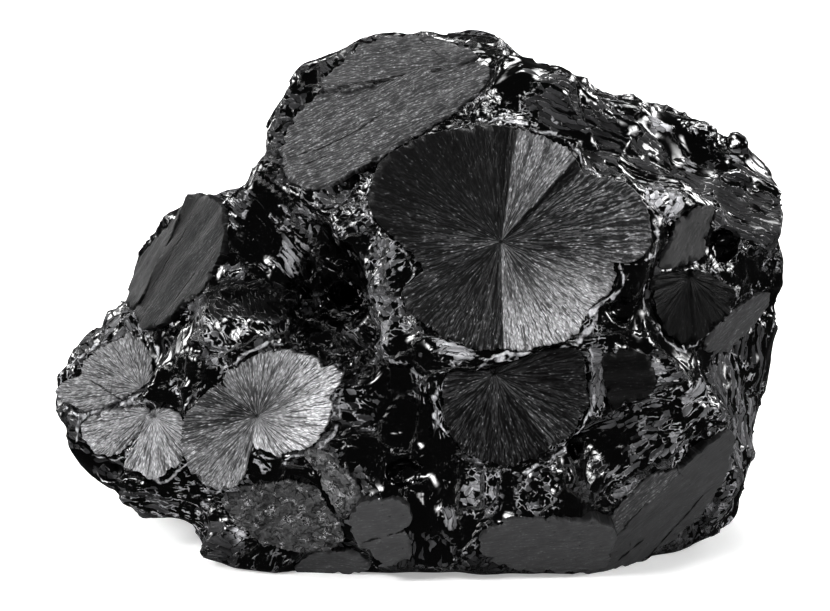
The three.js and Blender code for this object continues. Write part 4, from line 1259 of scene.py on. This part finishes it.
ZONES = tuple(Zone(*row) for row in (
    ((-18.7, -11.6, 48), 4.0, 0.2),
    ((-30.3, -15.3, 29.1), 4.4, 0.05, 0.0, 0.3, (-27, -17.5, 27.4)),
    ((-3, -23.6, 16), 3.6, 0.3),
    ((-14, -21.5, 20), 3.0, 0.1),
    ((35, -14, 43), 5.0, 0.3),
    ((-34.3, -15, 21.7), 3.4, 0.2),
    ((3.2, -24.9, 20.2), 4.2, 0.0),
    ((2.5, -24.8, 13.7), 4.2, 0.1),
    ((23.6, -22.4, 15.6), 5.0, 0.6),
    ((20.6, -24.4, 18.6), 3.0, 0.7),
    ((23.6, -22.8, 9.2), 2.8, 0.1),
    ((40.5, -7.6, 41.4), 3.4, 0.1),
    ((43.7, -8.7, 37.9), 3.4, 0.1),
    ((-36.1, -12.3, 9.9), 4.6, 0.4),
    ((-25.5, -18.8, 5.3), 2.2, 0.0),
    ((-14.2, -11.6, 44.6), 2.6, 1.0, 0.5, 0.62, (-15.9, -12.4, 39.4)),
    ((-17, -11.1, 44.9), 2.2, 1.0, 0.5, 0.6),
    ((-10.5, -13.7, 47.8), 2.8, 1.0, 0.45, 0.42),
    ((-6.6, -16.4, 44), 3.2, 1.0, 0.5, 0.5, (-2.4, -19.2, 41.4)),
    ((-3.6, -22.4, 36.6), 2.8, 1.0, 0.55, 0.5),
    ((-13.1, -11.3, 33.5), 2.4, 1.0, 0.5, 0.6),
    ((-8.8, -14.9, 31.3), 2.4, 1.0, 0.45, 0.6),
    # painted highlight: pale flakes where the glass mirrors a lamp
    ((-4.6, -23.6, 32.4), 2.4, 0.7, 0.6, 0.8),
    ((-2, -24.9, 29), 1.8, 0.7, 0.5, 0.6),
    # painted highlight: pale flakes where the glass mirrors a lamp
    ((2.6, -25.4, 31.4), 1.1, 0.1, 0.9, 0.8, (6.6, -26.6, 30.4)),
    ((-23, -14.2, 38.9), 2.0, 1.0, 0.5, 0.55),
    ((-19.1, -12.6, 39.4), 1.8, 1.0, 0.5, 0.6),
    ((-25.2, -19.5, 29), 3.0, 1.0, 0.42, 0.6),
    ((-30.4, -16.4, 23.3), 2.4, 1.0, 0.5, 0.6),
    ((-40.5, -4.6, 29.2), 3.0, 0.8, 0.5, 0.5, (-35, -8, 31.4)),
    # painted highlight: pale flakes where the glass mirrors a lamp
    ((-23, -20.5, 5), 1.5, 0.6, 0.9, 0.95),
    ((-7.6, -22.9, 23.7), 2.4, 1.0, 0.2, 0.5),
    ((0.6, -24.2, 27.4), 1.6, 1.0, 0.4, 0.5, (3, -25.4, 20)),
    ((31.6, -13.6, 47.4), 3.8, 1.0, 0.62, 0.88),
    ((8.2, -25.5, 11.4), 3.4, 1.0, 0.5, 0.65),
    ((15.5, -26, 12), 4.4, 0.9, 0.2, 0.4),
    ((8.2, -25.6, 17.4), 2.4, 0.4, 0.8, 0.5),
    ((-8.4, -15.3, 28), 3.6, 0.9, 0.1, 0.4),
    ((26.2, -21.4, 12.1), 3.2, 0.9, 0.4, 0.5),
    ((16.8, -26, 16.2), 1.8, 0.3, 1.0, 0.08),
    ((23.2, -22.7, 15.5), 1.8, 0.3, 1.0, 0.08),
    ((45.2, -5.7, 45), 7.5, 0.2, 0.95, 0.2),
    ((43.4, -3.6, 48.6), 5.5, 0.3, 0.75, 0.2),
    ((18.5, -13, 60), 5.5, 0.2, 0.8, 0.25),
    ((24.5, -10, 56.5), 5.0, 0.2, 0.8, 0.27),
    ((22.6, -12.4, 57), 1.9, 0.0, 1.0, 0.45),
    ((30.5, -7, 52), 4.6, 0.2, 0.7, 0.25),
    ((36, -5, 48.5), 4.5, 0.2, 0.66, 0.3),
    # painted highlights: pale facets where small glassy domes mirror the lamps
    ((32, -3.5, 55.8), 2.0, 0.1, 1.0, 0.85),
    ((36.5, -2.9, 50.6), 1.2, 0.1, 1.0, 0.85),
    ((42.1, 0.2, 51.1), 1.4, 0.1, 1.0, 0.8),
    ((42, -11.5, 12.7), 6.5, 0.5, 0.75, 0.45),
    ((39.4, -12.5, 7.5), 4.5, 0.5, 0.8, 0.45),
    ((44.1, -4.8, 15), 6.0, 0.5, 0.75, 0.45),
    ((36, -14, 2), 6.0, 0.3, 0.85, 0.3),
    ((-47.1, -7.3, 17), 5.5, 0.3, 0.75, 0.3),
    ((-35.1, -10.2, 6.2), 5.0, 0.6, 0.65, 0.26),
    ((-25.9, -19, 2.7), 4.6, 0.2, 0.9, 0.27),
    ((-25.2, -21.8, 13.6), 3.4, 0.6, 0.66, 0.5),
    ((-19.6, -22.3, 15), 1.7, 0.7, 0.75, 0.95),
    ((-22.4, -21.6, 11.5), 3.2, 0.6, 0.66, 0.42),
    ((-10.8, -23.4, 17.9), 2.4, 0.4, 0.85, 0.36),
    ((-8.2, -24, 13), 3.0, 0.6, 0.7, 0.34),
    ((-27.8, -13.2, 34.5), 3.2, 0.3, 0.9, 0.4),
    ((-10.2, -13.3, 48.3), 2.4, 0.3, 0.85, 0.28),
    ((31, -20.4, 17.4), 4.4, 0.8, 0.6, 0.45),
    ((30.4, -22, 26.4), 2.6, 0.8, 0.6, 0.6),
    ((30.5, -20.6, 21), 3.0, 0.6, 0.62, 0.45),
    ((36.2, -19.4, 23), 3.6, 0.6, 0.66, 0.6),
    ((34.1, -19, 15.4), 2.2, 0.9, 0.5, 0.7),
    ((41, -10, 23), 4.6, 0.5, 0.64, 0.42),
    ((23, -25, 30), 1.5, 0.2, 1.0, 0.5, (23, -24.7, 24.6)),
    ((4.3, -26.4, 10), 0.9, 0.0, 1.0, 0.62, (4.6, -26.5, 8.4)),
    ((-24.9, 2, 46), 8.0, 0.5, 0.64, 0.34),
    ((16, -23, 1.5), 7.5, 0.1, 0.95, 0.24),
    ((8, -23, 1), 4.5, 0.1, 0.9, 0.24),
    ((26, -20, 3), 7.0, 0.1, 1.0, 0.22),
    ((-10, -21, 1), 6.0, 0.1, 0.95, 0.24),
    ((-2, -24, 1), 3.5, 0.1, 0.9, 0.24),
    ((-16, -7, 58), 5.5, 0.4, 0.66, 0.27),
    ((-17, -9, 52), 4.5, 0.4, 0.66, 0.27),
    ((-33, -7, 41), 5.0, 0.3, 0.75, 0.2),
    ((-11.6, -11.7, 38.2), 4.4, 0.0, 0.7, 0.04),
    ((-24.3, -16.1, 35.1), 3.6, 0.05, 1.0, 0.05, (-18.6, -15, 34.5)),
    ((-21.3, -11.7, 44.1), 2.8, 0.2, 0.0, 0.3, (-19.6, -11.9, 41.6)),
    ((-1.6, -24.8, 31), 1.9, 0.0, 0.0, 0.3, (1, -25.3, 31)),
    ((-11, -12.6, 33.5), 2.2, 0.0, 0.0, 0.3, (-10.9, -15, 31.4)),
    ((-5.4, -22, 26.3), 2.3, 0.0, 0.0, 0.3, (-2.5, -22.9, 26.5)),
    ((-6.8, -14.3, 33.2), 2.3, 0.1),
    ((24.5, -23.2, 37.9), 4.4, 0.1, 0.3, 0.05, (28.4, -22.1, 32.5)),
    ((-2.4, -23.6, 22), 3.4, 0.05, 0.0, 0.3, (0.6, -25, 9)),
    ((-8.9, -23.6, 18.6), 2.2, 0.2),
    ((-4.8, -21, 40.6), 1.7, 1.0, 0.62, 0.36, (-5.4, -21.8, 38.3)),
    ((-23.4, -11.8, 45), 1.7, 1.0, 0.62, 0.34, (-22.2, -11.2, 47.5)),
    # painted highlights: pale facets where the glass mirrors the lamps
    ((-25.9, -19.4, 28), 1.0, 0.1, 1.0, 0.85),
    ((-30.8, -16.2, 23), 0.9, 0.1, 1.0, 0.8),
))


@dataclass
class GlassyMatrix:
    """The lump's glassy mass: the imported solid, finely divided and broken into scoops."""

    voxel: float = 0.54  # spacing of the fine mesh, in millimetres
    rounding: int = 7  # times that the solid's flat facets are softened
    large: Place = (9.0, 0.16, 0.3)  # spacing, bowl and lean of scoops
    middle: Place = (3.6, 0.22, 0.42)
    small: Place = (1.9, 0.2, 0.36)
    patch: float = 9.0  # spacing of the patches that have a look and a flow of their own
    drawn_out: float = 0.9  # how far a band draws fracture out, from 0 to 1
    patch_drawn_out: float = 0.7
    stray: float = 1.8  # how far fracture strays, in millimetres
    foot: Pair = (0.3, 3.0)  # heights over which fracture sets in
    dullness: float = 0.62  # of a dull patch
    usual_tone: float = 0.3
    bed: float = 0.45  # how far the matrix lies under a crystal face
    deep: float = 4.0  # farther than this from its plane, a face presses nothing down
    exposure: float = 0.5  # reflectance of a grey of 1

    def build(self, material: Material, slot: str) -> Object:
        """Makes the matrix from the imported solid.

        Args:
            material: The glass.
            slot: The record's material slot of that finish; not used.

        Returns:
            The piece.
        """
        shape = self._fine_copy()
        looks_layers = float_layers(shape, "crinkle", "dull", "tone")
        (glint_seam,) = float_layers(shape, "glint_seam")
        flows = shape.verts.layers.float_vector.new("flow")
        shape.normal_update()
        moves = []
        for vertex in shape.verts:
            point = vertex.co / MM - DATUM
            looks = self._looks(point)
            for layer, look in zip(looks_layers, looks):
                vertex[layer] = look
            vertex[glint_seam] = self._glint_seam(point)
            point += soft_drift(point * 0.12) * self.stray
            flow, inner = self._flow(point)
            vertex[flows] = flow
            raised = smooth_share(vertex.co.z / MM, *self.foot)
            moves.append(raised * self._relief(point, flow, looks[0] * inner))
        for vertex, move in zip(shape.verts, moves):
            vertex.co += vertex.normal * move * MM
        self._bed_faces(shape, glint_seam)
        self._keep_inside(shape)
        for polygon in shape.faces:
            polygon.smooth = True
        return new_piece("glassy_matrix", shape, material)

    def _fine_copy(self) -> BMesh:
        """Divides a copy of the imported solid.

        Returns:
            The merged, evenly divided and softened copy.
        """
        copy = linked("fine_copy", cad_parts[NODE].data.copy())
        merged = bmesh.new()
        merged.from_mesh(copy.data)
        bmesh.ops.remove_doubles(merged, verts=merged.verts, dist=SAME_PLACE)
        merged.to_mesh(copy.data)
        merged.free()
        remesh = copy.modifiers.new("even", "REMESH")
        remesh.mode = "VOXEL"
        remesh.voxel_size = self.voxel * MM
        soften = copy.modifiers.new("soften", "SMOOTH")
        soften.factor = 0.5
        soften.iterations = self.rounding
        graph = bpy.context.evaluated_depsgraph_get()
        fine = bpy.data.meshes.new_from_object(copy.evaluated_get(graph))
        shape = bmesh.new()
        shape.from_mesh(fine)
        bpy.data.meshes.remove(fine)
        bpy.data.objects.remove(copy)
        return shape

    def _looks(self, point: Vector) -> Place:
        """What the matrix looks like at a point.

        Args:
            point: A point of the drawing.

        Returns:
            Its crinkle, its dullness and the reflectance of its flakes.
        """
        strayed = point / self.patch + soft_drift(point * 0.12) * 0.2
        _, centres = noise.voronoi(strayed)
        lot = patch_lot(centres[0])
        crinkle = smooth_share(lot.y, 0.3, 0.75)
        dull = self.dullness * smooth_share(lot.x, 0.74, 0.84)
        tone = self.usual_tone
        for zone in ZONES:
            share = zone.share(point)
            crinkle += (zone.crinkle - crinkle) * share
            dull += (zone.dull - dull) * share
            tone += (zone.tone - tone) * share
        return crinkle, dull, self.exposure * tone**SCREEN_GAMMA

    @staticmethod
    def _glint_seam(point: Vector) -> float:
        """How far the nearest pale crest of painted highlight is from a point of the drawing, in
        millimetres.
        """
        runs = [pair for glint_seam in GLINT_SEAMS for pair in zip(glint_seam, glint_seam[1:])]
        return nearest_line(point, runs)

    def _flow(self, point: Vector) -> tuple[Vector, float]:
        """How fracture is drawn out at a point.

        Args:
            point: A point of the drawing, already strayed.

        Returns:
            The way that it is drawn out, and a share that falls to 0 at its patch's border.
        """
        distances, centres = noise.voronoi(point / self.patch)
        lie = (patch_lot(centres[0]) - MIDDLE).normalized() * self.patch_drawn_out
        inner = smooth_share(distances[1] - distances[0], 0.0, 0.2)
        band = max(BANDS, key=lambda band: band.pull(point))
        pull = band.pull(point)
        if pull > 0.0:
            return band.along() * self.drawn_out, smooth_share(pull, 0.0, 0.15)
        return lie, inner * smooth_share(-pull, 0.0, 0.15)

    def _relief(self, point: Vector, flow: Vector, folded: float) -> float:
        """How far fracture moves the skin out, in millimetres.

        Args:
            point: A point of the drawing, already strayed.
            flow: The way that fracture is drawn out there.
            folded: How crumpled the matrix is there.

        Returns:
            The move.
        """
        drawn = point - flow * flow.normalized().dot(point)
        height = shell_scoop(point, *self.large)
        height += shell_scoop(drawn, *self.middle) * (0.12 + 0.88 * folded)
        return height + shell_scoop(drawn, *self.small) * folded

    def _bed_faces(self, shape: BMesh, glint_seam: BMLayerItem) -> None:
        """Presses the matrix down under each crystal face and along its rim, and rings each fan
        with a pale crest of painted highlight.

        Args:
            shape: The matrix.
            glint_seam: The attribute that says how far the nearest pale crest is.
        """
        places = np.array([vertex.co for vertex in shape.verts]) / MM - np.array(DATUM)
        creep = [
            noise.noise(Vector(place) * 0.4) + 0.5 * noise.noise(Vector(place))
            for place in places
        ]
        glint_seams = np.array([vertex[glint_seam] for vertex in shape.verts])
        gaps, ceilings = (-0.4, 0.5, 2.2), (-self.bed, -0.15, 1.5)
        for plan in FACES:
            across, up, out = (np.array(axis) for axis in plan.axes())
            away = places - np.array(plan.centre)
            x, y, z = away @ across, away @ up, away @ out
            rims = rim_radius(plan.outline, np.arctan2(y, x))
            gap = np.hypot(x, y) - rims + 0.8 * np.array(creep)
            ceiling = np.interp(gap, gaps, ceilings)
            near = (gap < gaps[-1]) & (z > ceiling) & (z < self.deep)
            places[near] -= np.outer((z - ceiling)[near], out)
            # A fan's rim gets a pale crest of painted highlight.
            if plan.kind is FaceKind.FAN:
                edge = np.where(np.abs(z) < self.deep, np.abs(gap - 0.9), FARTHEST)
                glint_seams = np.minimum(glint_seams, edge)
        for vertex, place, near_glint_seam in zip(shape.verts, places, glint_seams):
            vertex.co = to_model(place)
            vertex[glint_seam] = near_glint_seam

    @staticmethod
    def _keep_inside(shape: BMesh) -> None:
        """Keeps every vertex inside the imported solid's box, and flat where it rests.

        Args:
            shape: The matrix.
        """
        low, high = CAD_BOX
        for vertex in shape.verts:
            vertex.co = Vector(
                min(max(value, bottom), top) for value, bottom, top in zip(vertex.co, low, high)
            )


# ---- The studio ------------------------------------------------------------------------------


@dataclass(frozen=True)
class Softbox:
    """A light that faces the specimen and fades from its middle to its edges."""

    name: str
    place: Place
    width: float
    height: float
    radiance: float
    focus: float = 2.0  # how quickly it fades towards its edges

    def build(self, aim: Vector) -> None:
        """Hangs the light.

        Args:
            aim: The point of the model that it faces.
        """
        lamp = bpy.data.lights.new(self.name, "AREA")
        lamp.shape = "RECTANGLE"
        lamp.size = self.width
        lamp.size_y = self.height
        lamp.energy = self.radiance * math.pi * self.width * self.height
        lamp.use_nodes = True
        tree = lamp.node_tree
        spot = add_node(tree, "ShaderNodeNewGeometry", {}, {}, "Parametric")
        reach = (spot - joined(tree, 0.5, 0.5, 0.0)).length()
        fade = reach.step(0.5, 0.0) ** self.focus
        tree.links.new(fade.socket, tree.nodes["Emission"].inputs["Strength"])
        place_facing(linked(self.name, lamp), Vector(self.place), aim - Vector(self.place))


@dataclass
class Studio:
    """Floor, lights, world and camera. Lengths are metres, but for the aim and the lens."""

    aim: Place = (0.0, 0.0, 31.0)  # in the drawing, millimetres
    distance: float = 0.371
    elevation: float = 12.0
    lens: float = 120.0
    sensor: float = 36.0
    floor_size: float = 6.0
    backdrop: float = 0.97  # how much brighter the world is for the camera than for the rest
    gloom: float = 0.03  # the world's brightness in everything that the specimen mirrors
    boxes: tuple[Softbox, ...] = (
        Softbox("left_wall", (-0.8, -0.45, 0.6), 1.1, 1.1, 32.0, 2.4),
        Softbox("right_wall", (0.95, -0.25, 0.45), 0.8, 1.1, 26.0, 2.4),
        Softbox("ceiling", (0.05, 0.35, 1.0), 1.3, 0.9, 34.0, 2.4),
        Softbox("left_edge", (-0.9, 0.2, 0.25), 0.4, 0.7, 18.0, 1.5),
        Softbox("low_front", (0.3, -0.85, 0.08), 0.5, 0.16, 12.0, 1.5),
        Softbox("back_right", (0.7, 0.8, 0.5), 0.8, 0.8, 18.0),
        Softbox("back_left", (-0.7, 0.8, 0.4), 0.6, 0.9, 18.0),
    )

    def build(self) -> None:
        """Sets the whole studio up."""
        self._floor()
        self._world()
        self._camera()
        for box in self.boxes:
            box.build(to_model(self.aim))

    def _floor(self) -> None:
        """A wide pale floor, which the glass doesn't mirror."""
        shape = bmesh.new()
        bmesh.ops.create_grid(shape, x_segments=8, y_segments=8, size=self.floor_size / 2.0)
        floor = linked_mesh("floor", shape, FloorFinish().material())
        floor.visible_glossy = False

    def _world(self) -> None:
        """White behind the floor's edge, nearly dark for everything that the specimen mirrors."""
        world = bpy.data.worlds.new("studio")
        bpy.context.scene.world = world
        world.use_nodes = True
        tree = world.node_tree
        seen = add_node(tree, "ShaderNodeLightPath", {}, {}, "Is Camera Ray")
        level = seen * self.backdrop + self.gloom
        tree.links.new(level.socket, tree.nodes["Background"].inputs["Strength"])
        tree.nodes["Background"].inputs["Color"].default_value = WHITE

    def _camera(self) -> None:
        """A long lens from the front, a little above level."""
        camera = bpy.data.cameras.new("camera")
        camera.lens = self.lens
        camera.sensor_width = self.sensor
        back = facing(0.0, self.elevation)
        holder = linked("camera", camera)
        place_facing(holder, to_model(self.aim) + back * self.distance, -back)
        scene = bpy.context.scene
        scene.camera = holder
        scene.view_settings.view_transform = "Standard"


def main() -> None:
    logging.basicConfig(level=logging.INFO, format="%(message)s")
    Studio().build()
    glass = GlassFinish()
    GlassyMatrix().build(glass.material(), glass.slot)
    finishes = {
        FaceKind.FAN: FibreFinish(),
        FaceKind.PLATE: BristleFinish(),
        FaceKind.GRAIN: CrumbFinish(),
    }
    materials = {kind: finish.material() for kind, finish in finishes.items()}
    for plan in FACES:
        CrystalFace(plan).build(materials[plan.kind], finishes[plan.kind].slot)


if __name__ == "__main__":
    main()
